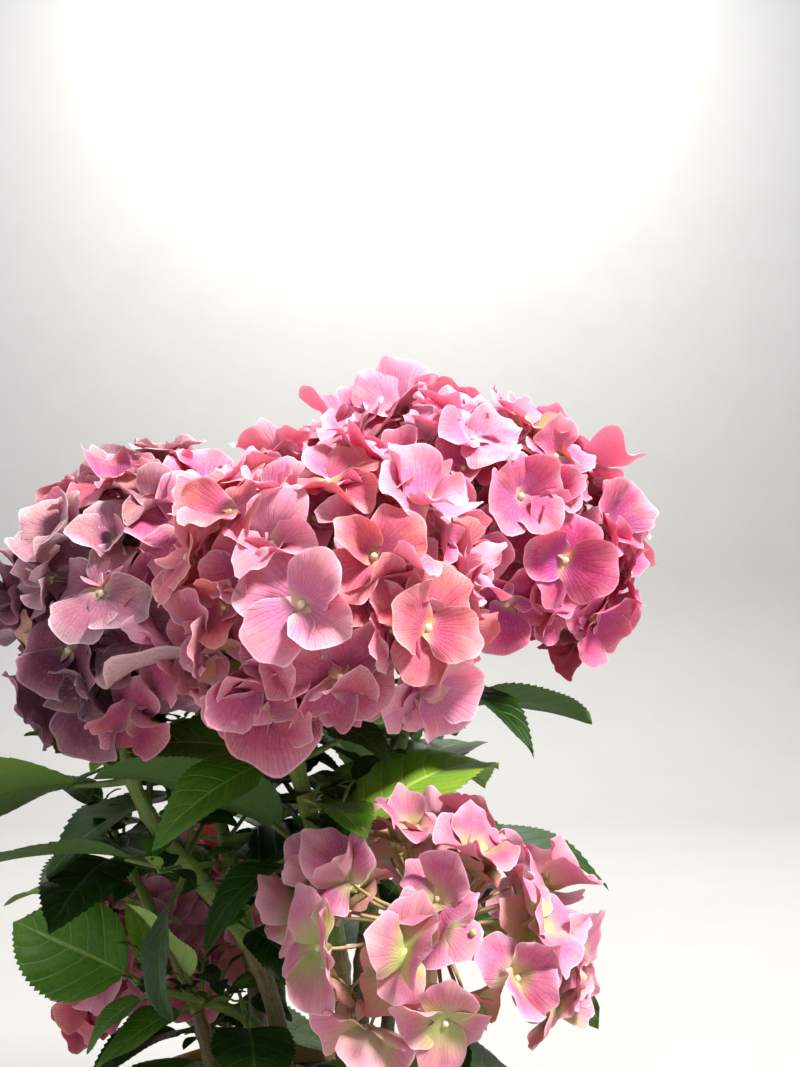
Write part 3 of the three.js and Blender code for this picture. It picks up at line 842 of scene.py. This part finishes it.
def petal_material(name):
    body, second, edge, blush, heart, veins, warm = colours(PETALS[name])
    s = Shades(f"petal_{name}")
    grown, across, along, under, chance = tile_space(s)
    mottle = s.noise(grown, 2.6, 1.6, 0.6)
    patch = s.noise(grown, 1.4, 1.0)
    grain = s.noise(grown, 24.0, 2.0, 0.65)
    # Veins fan out from the base, with finer twigs between them farther out.
    angle = s.math("ARCTAN2", s.times(across, 0.5), s.add(along, 0.12))
    ridge = s.stripes(s.add(s.times(angle, PETAL_VEINS), s.times(mottle, 1.7)))
    line = s.times(s.ramp(ridge, 0.0, 0.34, 1.0, 0.0), s.ramp(along, 0.1, 1.0, 1.0, 0.3))
    twig = s.stripes(s.add(s.times(angle, PETAL_TWIGS), s.times(mottle, 5.0)))
    twig_line = s.times(s.ramp(twig, 0.0, 0.5, 1.0, 0.0), s.ramp(along, 0.25, 0.6))
    rim = s.length(across, s.less(s.times(along, 2.0), 1.0))
    glowing = s.times(s.ramp(patch, 0.45, 0.62), s.ramp(along, 0.25, 0.75))
    spread = s.add(along, s.times(s.less(mottle, 0.5), 0.7))
    flush = s.times(s.ramp(spread, 0.12, 0.72, 0.8, 0.0), s.ramp(chance, 0.1, 0.9, 0.25, 1.0))
    reach = HEARTS.get(name, SMALL_HEART)
    shade = s.cover(
        body,
        (s.add(s.times(chance, 0.5), s.ramp(mottle, 0.35, 0.7, 0.0, 0.5)), second),
        (s.times(glowing, 0.5), warm),
        (s.times(s.ramp(rim, 0.45, 1.02), 0.5), edge),
        (flush, blush),
        (s.times(line, 0.34), veins),
        (s.times(twig_line, 0.2), veins),
        (s.ramp(grain, 0.45, 0.72, 0.0, 0.2), edge),
        (s.ramp(s.less(along, s.times(line, 0.12)), 0.02, reach, 0.95, 0.0), heart),
    )
    if name in MATURE:
        speckle = s.times(s.ramp(s.noise(grown, 48.0, 1.0), 0.5, 0.68), s.ramp(patch, 0.38, 0.6))
        shade = s.mix(s.times(speckle, MATURE[name]), shade, veins)
    # The thin pale line along the margin is a painted rim highlight; the paler undersides are the sepals' own
    # colour.
    shade = s.cover(shade, (s.times(s.ramp(rim, 0.93, 0.975), 0.8), edge), (s.times(under, 0.45), edge))
    normal = s.bump(s.add(s.times(line, -0.7), s.times(mottle, 1.1)), 0.5, 0.5)
    rough = s.ramp(mottle, 0.3, 0.7, 0.46, 0.62)
    deeper = s.vector("MULTIPLY", shade, shade)
    constants = {"Sheen Weight": 0.06, "Sheen Roughness": 0.5, "Specular IOR Level": SOFT_GLOSS}
    return s.finish(shade, rough, PETAL_GLOW, deeper, Normal=normal, **constants)


# The first tint is the leaves' own dark green, darkened further as painted shade; the other two are copies of
# it painted lighter, as painted light of half sun and of full sun.
LEAVES = {  # body, second body colour, veins, underside, edge
    "deep": "17340A 264C10 507832 5E7C40 2C3C14",
    "mid": "3A6A15 58881F 90B050 82A04E 605C2A",
    "lit": "7AAA28 9EC440 C8DC78 AAC478 C48E6C",
}
LEAF_GLOW = 0.2


def vein_phase(across, along):
    """Whole numbers where a side vein lies."""
    return (along - VEIN_SWEEP * np.abs(across) ** VEIN_BOW) * VEIN_PAIRS


def leaf_material(name):
    body, second, veins, under_colour, edge = colours(LEAVES[name])
    s = Shades(f"leaf_{name}")
    grown, across, along, under, chance = tile_space(s)
    size = s.math("ABSOLUTE", across)
    mottle = s.noise(grown, 4.0, 4.0, 0.6)
    sweep = s.times(s.math("POWER", size, VEIN_BOW), VEIN_SWEEP)
    phase = s.add(s.times(s.less(along, sweep), VEIN_PAIRS), s.times(s.less(mottle, 0.5), 0.3))
    between = s.stripes(phase)
    side_vein = s.ramp(between, 0.0, 0.17, 1.0, 0.0)
    midrib = s.ramp(size, 0.012, 0.06, 1.0, 0.0)
    cells = s.join(s.times(across, 7.0), s.times(along, 16.0), s.times(chance, 5.0))
    net = s.node("ShaderNodeTexVoronoi", {"Vector": cells, "Scale": 1.0}, feature="DISTANCE_TO_EDGE")
    blotch = s.ramp(s.noise(grown, 2.0), 0.5, 0.62)
    scorch = s.times(s.ramp(s.math("MAXIMUM", size, along), 0.86, 1.0), blotch)
    shade = s.cover(
        body,
        (s.add(s.times(chance, 0.35), s.ramp(mottle, 0.3, 0.75, 0.0, 0.65)), second),
        (s.times(s.ramp(between, 0.5, 1.0), 0.3), second),
        (s.times(scorch, 0.75), edge),
        (s.times(s.ramp(net, 0.0, 0.16, 1.0, 0.0), 0.12), veins),
        (s.times(side_vein, 0.45), veins),
        (s.times(midrib, 0.8), veins),
        (s.times(under, 0.75), under_colour),
    )
    height = s.less(s.times(mottle, 0.5), s.times(s.add(side_vein, midrib), 0.9))
    rough = s.add(s.ramp(mottle, 0.3, 0.7, 0.38, 0.52), s.times(under, 0.25))
    constants = {"Normal": s.bump(height, 0.6, 0.6), "Specular IOR Level": SOFT_GLOSS}
    return s.finish(shade, rough, LEAF_GLOW, **constants)


def stem_material(name, codes):
    """Bark or green skin: long streaks with flecks across them."""
    body, second, streak, flecks = colours(codes)
    s = Shades(name)
    place = s.places()
    lengthways, patchy, dotted = [s.vector("MULTIPLY", place, scale) for scale in STEM_SCALES]
    long_grain = s.noise(lengthways, 1.0, 4.0, 0.6)
    patches = s.ramp(s.noise(patchy, 1.0, 2.0), 0.5, 0.7)
    dots = s.times(s.ramp(s.noise(dotted, 1.0, 1.0), 0.62, 0.7), 0.6)
    grain = s.ramp(long_grain, 0.35, 0.65)
    shade = s.cover(body, (grain, second), (s.times(patches, 0.55), streak), (dots, flecks))
    normal = s.bump(s.add(long_grain, dots), 0.5, 0.5)
    return s.finish(shade, s.ramp(long_grain, 0.3, 0.7, 0.45, 0.62), Normal=normal)


def bead_material(name, codes):
    """A small round body that is darker at its crown."""
    heart, skin = colours(codes)
    s = Shades(name)
    x, y, _ = s.split(s.places())
    middle = s.length(s.less(x, 0.5), s.less(y, 0.5))
    grain = s.noise(s.places(), 9.0, 2.0)
    shade = s.cover(heart, (s.ramp(middle, 0.05, 0.4), skin), (s.ramp(grain, 0.5, 0.75, 0.0, 0.3), heart))
    return s.finish(shade, s.ramp(grain, 0.3, 0.7, 0.45, 0.6), Normal=s.bump(grain, 0.3, 0.3))


def pot_material():
    """Ochre moulded plastic, with a faint grain, rubbed patches and dust towards the rim and foot."""
    body, second, rubbed, dusty = colours("B98A2E A87A28 D2B070 B6A183")
    s = Shades("ochre_plastic")
    place = s.object_place()
    grain = s.noise(place, 900.0, 2.0)
    cloud = s.noise(place, 14.0, 3.0, 0.6)
    scuffs = s.ramp(s.noise(s.vector("MULTIPLY", place, (60, 60, 420)), 1.0, 2.0), 0.66, 0.74)
    height = s.split(place)[2]
    dust = s.times(s.ramp(cloud, 0.42, 0.66), s.ramp(height, 0.16, 0.215, 0.1, 0.7))
    splash = s.times(s.ramp(cloud, 0.45, 0.62), s.ramp(height, 0.0, 0.035, 0.7, 0.0))
    shade = s.cover(
        body,
        (s.ramp(cloud, 0.3, 0.7), second),
        (s.times(scuffs, 0.35), rubbed),
        (s.times(s.add(dust, splash), 0.5), dusty),
    )
    rough = s.add(s.ramp(cloud, 0.3, 0.7, 0.36, 0.5), s.times(dust, 0.25))
    return s.finish(shade, rough, Normal=s.bump(s.add(grain, s.times(scuffs, -1.0)), 0.25, 0.2))


def grit_material(name, scale, codes):
    """Stone or bark in three colours, with a fine grain."""
    body, second, dark = colours(codes)
    s = Shades(name)
    place = s.object_place()
    coarse = s.noise(place, scale, 4.0, 0.65)
    fine = s.noise(place, scale * 5, 3.0, 0.6)
    shade = s.cover(body, (s.ramp(coarse, 0.35, 0.65), second), (s.ramp(fine, 0.52, 0.7, 0.0, 0.7), dark))
    rough = s.ramp(fine, 0.3, 0.7, 0.75, 0.95)
    return s.finish(shade, rough, Normal=s.bump(s.add(coarse, fine), 0.6, 0.8))


# Sepals and florets


def disc_grid(cells):
    """A square grid drawn in to a disc, so that its edge is round and no cell is pinched."""
    line = np.linspace(-1, 1, cells + 1)
    x, y = np.meshgrid(line, line, indexing="ij")
    return x * np.sqrt(1 - y * y / 2), y * np.sqrt(1 - x * x / 2)


DISCS = {cells: disc_grid(cells) for cells in (SEPAL_CELLS, INNER_CELLS)}


def sepal_form(rng, wilt, point):
    """How one sepal curves, as shares of its length. A wilted one droops and rolls more."""
    return SimpleNamespace(
        length=rng.uniform(0.86, 1.12),
        width=rng.uniform(0.55, 0.69),
        droop=rng.uniform(0.0, 0.95) + wilt,
        curl=rng.uniform(-1.1, 2.3) + 2.5 * wilt,
        ruffle=rng.uniform(0.04, 0.115) * (1 + wilt),
        twist=rng.uniform(-0.45, 0.45),
        pitch=math.radians(rng.uniform(-16, 24) if rng.random() < 0.8 else rng.uniform(30, 58)),
        crease=rng.uniform(0.01, 0.05),
        phase=rng.uniform(0, 2 * math.pi),
        lobes=int(rng.integers(2, 4)),
        crumple=rng.uniform(0.006, 0.03) * (1 + wilt),
        point=rng.uniform(0.0, point),
    )


def sepal_shape(cells, form, raised):
    """Along, across and out of a sepal of length 1, with its tip at 1. Its sides roll up by curl."""
    ahead, aside = DISCS[cells]
    turn = np.arctan2(aside, ahead)
    rim = np.hypot(ahead, aside)
    scallop = 1 + rim**3 * (0.05 * np.sin(5 * turn + form.phase) + 0.02 * np.sin(9 * turn + 2 * form.phase))
    along = (ahead * scallop + 1) / 2
    tip = form.point * np.exp(-((aside / 0.3) ** 2)) * smooth(0.5, 1, ahead)
    across = aside * scallop * form.width * (0.72 + 0.72 * along - 0.38 * along**2)
    out = raised * np.clip(along, 0, None) ** 1.5 + form.twist * across * along
    out = out - form.droop * np.clip(along - 0.45, 0, None) ** 2
    out = out + (1 - np.cos(form.curl * across)) / form.curl
    out = out + form.ruffle * rim**3 * (np.sin(form.lobes * turn + form.phase) + 0.4 * np.sin(7 * turn))
    waves = np.sin(10 * along + form.phase) * np.sin(8 * aside + 2 * form.phase)
    out = out + form.crumple * waves * smooth(0.1, 0.5, along)
    out = out - form.crease * np.exp(-((across / 0.05) ** 2)) * smooth(0, 0.3, along)
    across = np.sin(form.curl * across) / form.curl
    ahead = SEPAL_START + (1.05 - SEPAL_START) * along + tip
    lean, rise = math.cos(form.pitch), math.sin(form.pitch)
    return (form.length * part for part in (ahead * lean - out * rise, across, ahead * rise + out * lean))


def add_sepal(pile, at, ahead, out, size, cells, form, raised, rng):
    """One sepal from its base, pointing ahead and facing out."""
    aside = np.cross(out, ahead)
    along, across, rise = sepal_shape(cells, form, raised)
    grid = at + size * (along[..., None] * ahead + across[..., None] * aside + rise[..., None] * out)
    disc_ahead, disc_aside = DISCS[cells]
    share = (disc_ahead + 1) / 2
    over = tile_places(disc_aside, share, rng)
    under = tile_places(disc_aside, share, rng, UNDER_ROW)
    add_sheet(pile, grid, over, under, SEPAL_THICK)


def add_floret(piles, tint, floret, cells, rng, wilt, point, grow=1.0):
    """A floret's sepals, its eye, the bead in it and the stalk behind it."""
    side, other, out = floret_axes(floret.out)
    size = floret.size * grow
    for index in range(4):
        middle = floret.spin + index * math.pi / 2 + rng.uniform(-SEPAL_STRAY, SEPAL_STRAY)
        at = floret.at + SEPAL_LAYER * (index % 2) * out
        raised = floret.cup * SEPAL_RAISE[index % 2]
        ahead = around(side, other, middle)
        add_sepal(piles[tint], at, ahead, out, size, cells, sepal_form(rng, wilt, point), raised, rng)
    eye = floret.size * EYE_SHARE
    bead = floret.size * BEAD_SHARE
    axes = (side, other, out)
    add_ball(piles[tint], floret.at, axes, vec(eye, eye, eye * EYE_FLAT), middle=EYE_PLACE, spread=0.01)
    add_ball(piles["beads"], floret.at + out * bead, axes, vec(bead, bead, bead * BEAD_FLAT))
    add_stalk(piles["stalks"], floret)


def add_stalk(pile, floret):
    """A thin stalk that bows from the bloom's inside out to a floret."""
    start = floret.root
    end = floret.at - floret.out * STALK_END
    bend = end - floret.out * np.linalg.norm(end - start) * STALK_BOW
    add_taper(pile, bowed(start, bend, end, STALK_STEPS), STALK_RADII, STALK_SIDES)


def tint_at(flower, floret, rng):
    """The tint for a floret's place along the bloom's grade of painted light and shade, give or take."""
    offset = (floret.at - vec(*flower.at)) / vec(*flower.radii)
    level = 0.5 + 0.5 * offset @ unit(vec(*flower.fade)) + rng.uniform(-SHADE_GRADE_STRAY, SHADE_GRADE_STRAY)
    return flower.tints[int(np.clip(level * len(flower.tints), 0, len(flower.tints) - 1))]


def bloom_piles(plan, seed):
    """One bloom's piles: a pile for each tint, its beads, stalks and small buds."""
    flower = plan.bloom
    rng = np.random.default_rng(seed)
    piles = {name: Pile() for name in {*flower.tints, "young", "beads", "stalks", "buds"}}
    for floret in florets_of(plan, seed):
        tint = tint_at(flower, floret, rng)
        add_floret(piles, tint, floret, SEPAL_CELLS, rng, flower.wilt, flower.point, OUTER_GROWTH)
    for share, reaches, size in INNER_LAYERS["loose" if flower.core < CORE_SHARE else "full"]:
        count = round(share * flower.florets)
        for floret in dome_plans(flower, count, reaches, seeded(seed + count)):
            floret.size *= size
            tint = "young" if rng.random() < flower.young else tint_at(flower, floret, rng)
            add_floret(piles, tint, floret, INNER_CELLS, rng, flower.wilt + INNER_WILT, flower.point)
    for at, ahead, out, size, curl, tint in flower.old:
        form = sepal_form(rng, *OLD_FORM)
        form.curl, form.pitch = curl, 0.0
        ahead = unit(vec(*ahead))
        out = vec(*out) - ahead * (ahead @ vec(*out))
        add_sepal(piles[tint], vec(*at), ahead, unit(out), size, SEPAL_CELLS, form, OLD_RAISED, rng)
    add_buds(piles, flower, rng, seed)
    add_rachis(piles["stalks"], plan)
    return piles


def add_buds(piles, flower, rng, seed):
    """Small closed buds on stalks between the florets."""
    count = flower.florets // 2
    for bud in dome_plans(flower, count, BUD_REACHES, seeded(seed + BUD_SEED)):
        size = rng.uniform(*BUD_SIZES)
        add_ball(piles["buds"], bud.at, floret_axes(bud.out), vec(size, size, size * BUD_LENGTH))
        add_stalk(piles["stalks"], bud)


def add_rachis(pile, plan):
    """The bloom's thick stalk and the arms that carry its florets' stalks."""
    flower = plan.bloom
    foot = vec(*plan.top) + unit(vec(*plan.lean)) * GAP
    centre = vec(*flower.at)
    girth = plan.girth[1]
    add_taper(pile, straight(foot, centre, RACHIS_STEPS), girth * vec(*RACHIS_GIRTHS), RACHIS_SIDES)
    tilt = turn_to(flower.axis)
    start = centre - vec(*flower.axis) * ARM_DROP
    outwards, upwards = ARM_WAY
    for turn in turns(ARMS):
        ray = tilt @ vec(math.cos(turn) * outwards, math.sin(turn) * outwards, upwards)
        end = centre + ray * flower.radii[0] * flower.core * ARM_REACH
        add_taper(pile, straight(start, end, STALK_STEPS), girth * vec(*ARM_GIRTHS), ARM_SIDES)


# Leaves


def leaf_half_width(along):
    """A pointed oval's half width, as a share of its greatest."""
    return np.sin(math.pi * np.clip(along, 0, 1) ** 0.72) ** 0.85


def add_blade(pile, base, axes, length, arch, rng, cells, thick=LEAF_THICK):
    """A toothed, quilted blade, folded along its midrib."""
    rows, columns = cells
    share = np.linspace(0, 1, rows + 1)
    line = np.linspace(-1, 1, columns + 1)
    along, across = np.meshgrid(share, line, indexing="ij")
    half = length * LEAF_WIDTH / 2 * leaf_half_width(0.012 + 0.976 * along)
    odd = (np.arange(rows + 1) % 2)[:, None]
    margin = across**6
    sideways = across * half * (1 + TEETH * (odd * 2 - 1) * margin * smooth(0.03, 0.2, along))
    forward = along + TOOTH_LEAN * odd * margin * (along < 0.97)
    phase = vein_phase(across, along)
    trough = np.abs(phase - np.round(phase)) * 2
    quilt = QUILT * length * smooth(0, 0.8, trough) * np.abs(across) ** 0.6 * (1 - across**4)
    quilt = quilt * smooth(0, 0.12, along) * smooth(0, 0.1, 1 - along)
    wave = rng.uniform(0.01, 0.03) * length * across**2 * smooth(0, 0.3, along)
    wave = wave * np.sin(rng.uniform(7, 11) * along + rng.uniform(0, 6))
    fold = LEAF_FOLD * np.abs(sideways) ** 1.15 * half.max() ** -0.15
    curl = rng.uniform(-0.05, 0.02) * length * smooth(0.75, 1, along)
    twist = rng.uniform(-0.04, 0.04) * length * across * along
    grid = blade_point(base, axes, length, arch, forward, sideways, fold + quilt + wave + curl + twist)
    over = tile_places(across, along, rng)
    under = tile_places(across, along, rng, UNDER_ROW)
    add_sheet(pile, grid, over, under, thick)


def add_petiole(pile, root, base, axes, radius):
    """A leaf's stalk, from inside the stem to under the blade."""
    end = base + axes[0] * radius * 2 - axes[2] * radius * 0.5
    middle = (root + base) / 2 - vec(0, 0, 1) * np.linalg.norm(base - root) * PETIOLE_SAG
    radii = radius * vec(*PETIOLE_TAPER)
    add_taper(pile, bowed(root, middle, end, PETIOLE_STEPS), radii, PETIOLE_SIDES)


def leaf_tint(leaf, height, rng):
    """Its planned tint, or one by chance, which is more often the lighter tint near the top, as painted light
    where the upper leaves catch the sun.
    """
    if leaf.tint:
        return leaf.tint
    low, high = HALF_LIT_ODDS
    return "mid" if rng.random() < low + (high - low) * smooth(*HALF_LIT_HEIGHTS, height) else "deep"


def grow_leaf(piles, plan, leaf, rng):
    axes = blade_frame(leaf.turn, leaf.lift, leaf.roll)
    root, base = blade_base(plan, leaf, axes)
    tint = leaf_tint(leaf, base[2], rng)
    add_blade(piles[tint], base, axes, leaf.length, leaf.arch, rng, LEAF_CELLS)
    add_petiole(piles["stems"], root, base, axes, PETIOLE_LEAST + leaf.length * PETIOLE_GROWTH)
    grow_twig(piles, plan, leaf, root, rng)


def grow_twig(piles, plan, leaf, root, rng):
    """A side twig from the angle above a leaf, with small leaves in pairs."""
    turn = leaf.turn + rng.uniform(-TWIG_TURN, TWIG_TURN)
    lift = leaf.lift + rng.uniform(*TWIG_LIFTS)
    reach = leaf.length * rng.uniform(*TWIG_REACHES)
    tip = root + blade_frame(turn, lift, 0)[0] * (reach + girth_at(plan, leaf.along))
    add_taper(piles["stems"], straight(root, tip, TWIG_STEPS), TWIG_RADII, TWIG_SIDES)
    for share, sides, lifts, lengths in TWIG_PAIRS:
        for side in sides:
            at = root + (tip - root) * share
            add_small_leaf(piles, at, turn + side, rng.uniform(*lifts), reach * rng.uniform(*lengths), rng)


def add_small_leaf(piles, root, turn, lift, length, rng):
    turn = turn + rng.uniform(-SMALL_LEAF_TURN, SMALL_LEAF_TURN)
    axes = blade_frame(turn, lift, rng.uniform(-SMALL_LEAF_ROLL, SMALL_LEAF_ROLL))
    base = root + axes[0] * length * SMALL_LEAF_STALK
    # Some small leaves take the lighter tint, as painted light of sun on them.
    tint = "mid" if rng.random() < SMALL_HALF_LIT_ODDS else "deep"
    arch = rng.uniform(*SMALL_LEAF_ARCHES)
    add_blade(piles[tint], base, axes, length, arch, rng, SMALL_LEAF_CELLS, SMALL_LEAF_THICK)
    add_petiole(piles["stems"], root, base, axes, SMALL_PETIOLE)


# Stems and canes


def add_limb(pile, plan, start, end, steps, joints, rng, rough):
    """A stretch of a shoot's curve, swollen at its joints and ribbed along its length."""
    share = np.linspace(start, end, steps)
    path = np.array([curve_point(plan, s) for s in share])
    swelling = sum(np.exp(-(((share - joint) / JOINT_WIDTH) ** 2)) for joint in joints)
    radii = girth_at(plan, share) * (1 + JOINT_SWELL * np.clip(swelling, 0, 1))
    ribs = 1 + rough * np.sin(3 * turns(LIMB_SIDES) + rng.uniform(0, 6)) * np.sin(9 * share)[:, None]
    grain = 1 + rough * rng.uniform(-0.5, 0.5, (steps, LIMB_SIDES))
    add_tube(pile, path, radii, LIMB_SIDES, relief=ribs * grain)


def curve_length(plan):
    path = np.array([curve_point(plan, share) for share in np.linspace(0, 1, CANE_STEPS)])
    return np.linalg.norm(np.diff(path, axis=0), axis=1).sum()


# The pot and its fill


def wall_at(height):
    return WALL_FOOT + (WALL_TOP - WALL_FOOT) * height / POT_HEIGHT


def rounded(profile, radius, steps=5):
    """A profile with each inner corner turned into a small arc."""
    points = [vec(*profile[0])]
    for before, corner, after in zip(profile, profile[1:], profile[2:]):
        before, corner, after = vec(*before), vec(*corner), vec(*after)
        cut = min(radius, np.linalg.norm(before - corner) * 0.45, np.linalg.norm(after - corner) * 0.45)
        start, end = corner + unit(before - corner) * cut, corner + unit(after - corner) * cut
        points.extend(bowed(start, corner, end, steps))
    points.append(vec(*profile[-1]))
    return np.array(points)


def ring_of(sides, reach, height):
    """Points round the pot's axis, all at one height or each at its own."""
    x, y = reach * np.cos(turns(sides)), reach * np.sin(turns(sides))
    return np.stack(np.broadcast_arrays(x, y, height), axis=-1)


def add_turned(pile, profile, sides):
    """A shape turned about +Z from a profile of radius and height, with its outside on the right."""
    rows = np.array([ring_of(sides, reach, height) for reach, height in profile[1:-1]])
    add_rings(pile, rows, [vec(0, 0, profile[0][1]), vec(0, 0, profile[-1][1])])


def pot_profile():
    lip_foot = POT_HEIGHT - LIP_HEIGHT
    floor = FOOT_HEIGHT + WALL
    return [
        (0, 0), (FOOT_RADIUS - FOOT_RECESS, 0), (FOOT_RADIUS - FOOT_RECESS + 1, FOOT_HEIGHT),
        (FOOT_RADIUS + 1, FOOT_HEIGHT + FOOT_RECESS), (RIM_RADIUS - LIP_PROUD, lip_foot),
        (RIM_RADIUS, lip_foot + 1), (RIM_RADIUS, POT_HEIGHT), (WALL_TOP, POT_HEIGHT),
        (wall_at(floor), floor), (0, floor),
    ]


def fill_surface(x, y):
    """The height of the potting mix."""
    reach = np.hypot(x, y)
    dip = FILL_DIP * smooth(FILL_FLAT, WALL_TOP, reach)
    lumps = 0.9 * np.sin(x * 0.11 + 1.3) * np.sin(y * 0.13) + 0.6 * np.sin(x * 0.31 + y * 0.23)
    return FILL_TOP - dip + lumps - 0.8


def add_fill(pile, rng):
    """The mix as a closed body: its floor and side, then an uneven top."""
    floor = FOOT_HEIGHT + WALL + GAP
    edge = FILL_TOP - FILL_DIP
    side = wall_at(edge) - GAP
    outline = (1, floor), (wall_at(floor) - GAP, floor), (side, edge - 1)
    rows = [ring_of(FILL_SIDES, reach, height) for reach, height in outline]
    for reach in np.linspace(side - 0.5, 1, FILL_ROWS):
        x, y, _ = ring_of(FILL_SIDES, reach, 0).T
        roughness = rng.uniform(-FILL_ROUGH, FILL_ROUGH, FILL_SIDES) * min(1, reach / FILL_MIDDLE)
        rows.append(ring_of(FILL_SIDES, reach, fill_surface(x, y) + roughness))
    add_rings(pile, np.array(rows), [rows[0].mean(axis=0), rows[-1].mean(axis=0)])


def scatter(pile, count, sizes, squash, rng):
    """Lumps of grit half sunk in the top of the mix, clear of the canes."""
    feet = np.array([plan.foot for plan in SHOOTS])
    most = wall_at(FILL_TOP) - EDGE_CLEAR
    made = 0
    while made < count:
        reach, turn = most * math.sqrt(rng.random()), rng.uniform(0, 2 * math.pi)
        x, y = reach * math.cos(turn), reach * math.sin(turn)
        if np.hypot(*(feet - (x, y)).T).min() < CANE_CLEAR:
            continue
        size = rng.uniform(*sizes)
        axes = turn_to((*rng.uniform(-LUMP_LEAN, LUMP_LEAN, 2), 1)).T
        spin = rng.uniform(0, math.pi)
        across = around(axes[0], axes[1], spin)
        spun = [across, np.cross(axes[2], across), axes[2]]
        radii = size * vec(*squash) * rng.uniform(1 - LUMP_STRAY, 1 + LUMP_STRAY, 3)
        add_lump(pile, vec(x, y, fill_surface(x, y) + radii[2] * LUMP_SINK), spun, radii, rng)
        made += 1


# Putting the plant together


def add_object(name, data):
    made = bpy.data.objects.new(name, data)
    bpy.context.collection.objects.link(made)
    return made


def add_piece(name, pile, material, nodes):
    """A finished piece that stands for some of the solids."""
    if pile.count:
        piece = add_object(name, pile.mesh(name))
        piece.data.materials.append(material)
        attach(piece, "root")
        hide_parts(*nodes)


def seeded_shoots():
    """Each shoot with its own seed."""
    return [(plan, SHOOT_SEEDS * (i + 1)) for i, plan in enumerate(SHOOTS)]


def build_pot():
    pile = Pile()
    add_turned(pile, rounded(pot_profile(), POT_EDGE), POT_SIDES)
    add_piece("pot_shell", pile, pot_material(), ["pot"])


def build_fill():
    rng = np.random.default_rng(FILL_SEED)
    bed = Pile()
    add_fill(bed, rng)
    material = grit_material("mix_bed", BED_SCALE, "75604A 524030 32271E")
    add_piece("mix_bed", bed, material, ["potting_mix"])
    for name, (count, sizes, squash, codes) in LUMPS.items():
        pile = Pile()
        scatter(pile, count, sizes, squash, rng)
        add_piece(name, pile, grit_material(name, LUMP_SCALE, codes), ["potting_mix"])


def build_blooms():
    materials = {name: petal_material(name) for name in PETALS}
    materials["beads"] = bead_material("floret_beads", "E9D9A8 F3E6CF")
    materials["buds"] = bead_material("flower_buds", "9DB36A C9CE8E")
    materials["stalks"] = stem_material("flower_stalks", "B9A76A A98F6A C4788A D8C79A")
    for plan, seed in seeded_shoots():
        if plan.bloom:
            node = f"bloom_{plan.name}"
            for kind, pile in sorted(bloom_piles(plan, seed + BLOOM_SEED).items()):
                add_piece(f"{node}_{kind}", pile, materials[kind], [node])


def build_foliage():
    piles = {name: Pile() for name in (*LEAVES, "stems")}
    for plan, seed in seeded_shoots():
        rng = np.random.default_rng(seed)
        leaves = leaves_of(plan, seed)
        for leaf in leaves:
            grow_leaf(piles, plan, leaf, rng)
        joints = {round(leaf.along, 2) for leaf in leaves}
        start = plan.split + GAP / curve_length(plan)
        add_limb(piles["stems"], plan, start, 1, STEM_STEPS, joints, rng, STEM_ROUGH)
    nodes = [f"foliage_{plan.name}" for plan in SHOOTS]
    for name in LEAVES:
        add_piece(f"leaves_{name}", piles[name], leaf_material(name), nodes)
    green = stem_material("green_stems", "6F8A3C 56752E 8C5A4A B9B070")
    add_piece("green_stems", piles["stems"], green, nodes)


def build_canes():
    pile = Pile()
    for plan, seed in seeded_shoots():
        rng = np.random.default_rng(seed + 1)
        joints = plan.split * vec(*CANE_JOINTS)
        add_limb(pile, plan, 0, plan.split, CANE_STEPS, joints, rng, CANE_ROUGH)
    bark = stem_material("cane_bark", "7C6B45 5E5436 8A7A5C B5A684")
    add_piece("canes", pile, bark, [f"cane_{plan.name}" for plan in SHOOTS])


# The stage, the light and the camera


def build_stage():
    """A pale floor that curves up into a pale wall."""
    bend = np.linspace(0.1, math.pi / 2, BEND_CELLS)
    depth = np.concatenate([
        np.linspace(-STAGE_FRONT, STAGE_BACK, STAGE_CELLS),
        STAGE_BACK + STAGE_BEND * np.sin(bend),
        np.full(WALL_CELLS, STAGE_BACK + STAGE_BEND),
    ])
    height = np.concatenate([
        np.zeros(STAGE_CELLS),
        STAGE_BEND * (1 - np.cos(bend)),
        np.linspace(STAGE_BEND * 1.5, STAGE_HEIGHT, WALL_CELLS),
    ])
    columns = np.linspace(STAGE_HALF_WIDTH, -STAGE_HALF_WIDTH, STAGE_CELLS)
    grid = np.array([[(x, y, z) for x in columns] for y, z in zip(depth, height)])
    pile = Pile()
    pile.add(grid, (grid_faces(*grid.shape[:2]), None))
    floor = add_object("floor", pile.mesh("floor"))
    s = Shades("pale_floor")
    grain = s.noise(s.object_place(), 6.0, 3.0)
    floor.data.materials.append(s.finish(s.mix(grain, *colours("9F9E9B 9A9996")), 0.9))


def add_light(name, place, aim, size, power, tone):
    light = bpy.data.lights.new(name, "AREA")
    light.size = size
    light.energy = power
    light.color = tone
    lamp = add_object(name, light)
    lamp.location = place
    lamp.rotation_euler = (Vector(aim) - Vector(place)).to_track_quat("-Z", "Y").to_euler()


def build_lights():
    world = bpy.data.worlds.new("studio")
    world.use_nodes = True
    glow = world.node_tree.nodes["Background"].inputs
    glow["Color"].default_value = WORLD_TONE
    glow["Strength"].default_value = WORLD_STRENGTH
    bpy.context.scene.world = world
    for name, values in LIGHTS.items():
        add_light(name, *values)


def build_camera():
    """A phone's usual lens, level with the middle of the crown and tipped up, as in the photograph."""
    camera = bpy.data.cameras.new("camera")
    camera.sensor_fit = "VERTICAL"
    camera.sensor_height = SENSOR_HEIGHT
    camera.lens = SENSOR_HEIGHT * FOCAL_SHARE
    eye = add_object("camera", camera)
    eye.location = CAMERA_PLACE
    eye.rotation_euler = (math.radians(90 + CAMERA_TILT), 0, 0)
    bpy.context.scene.camera = eye
    bpy.context.scene.view_settings.view_transform = "Standard"  # keeps the pinks clear


build_camera()
build_lights()
build_stage()
build_pot()
build_fill()
build_canes()
build_foliage()
build_blooms()
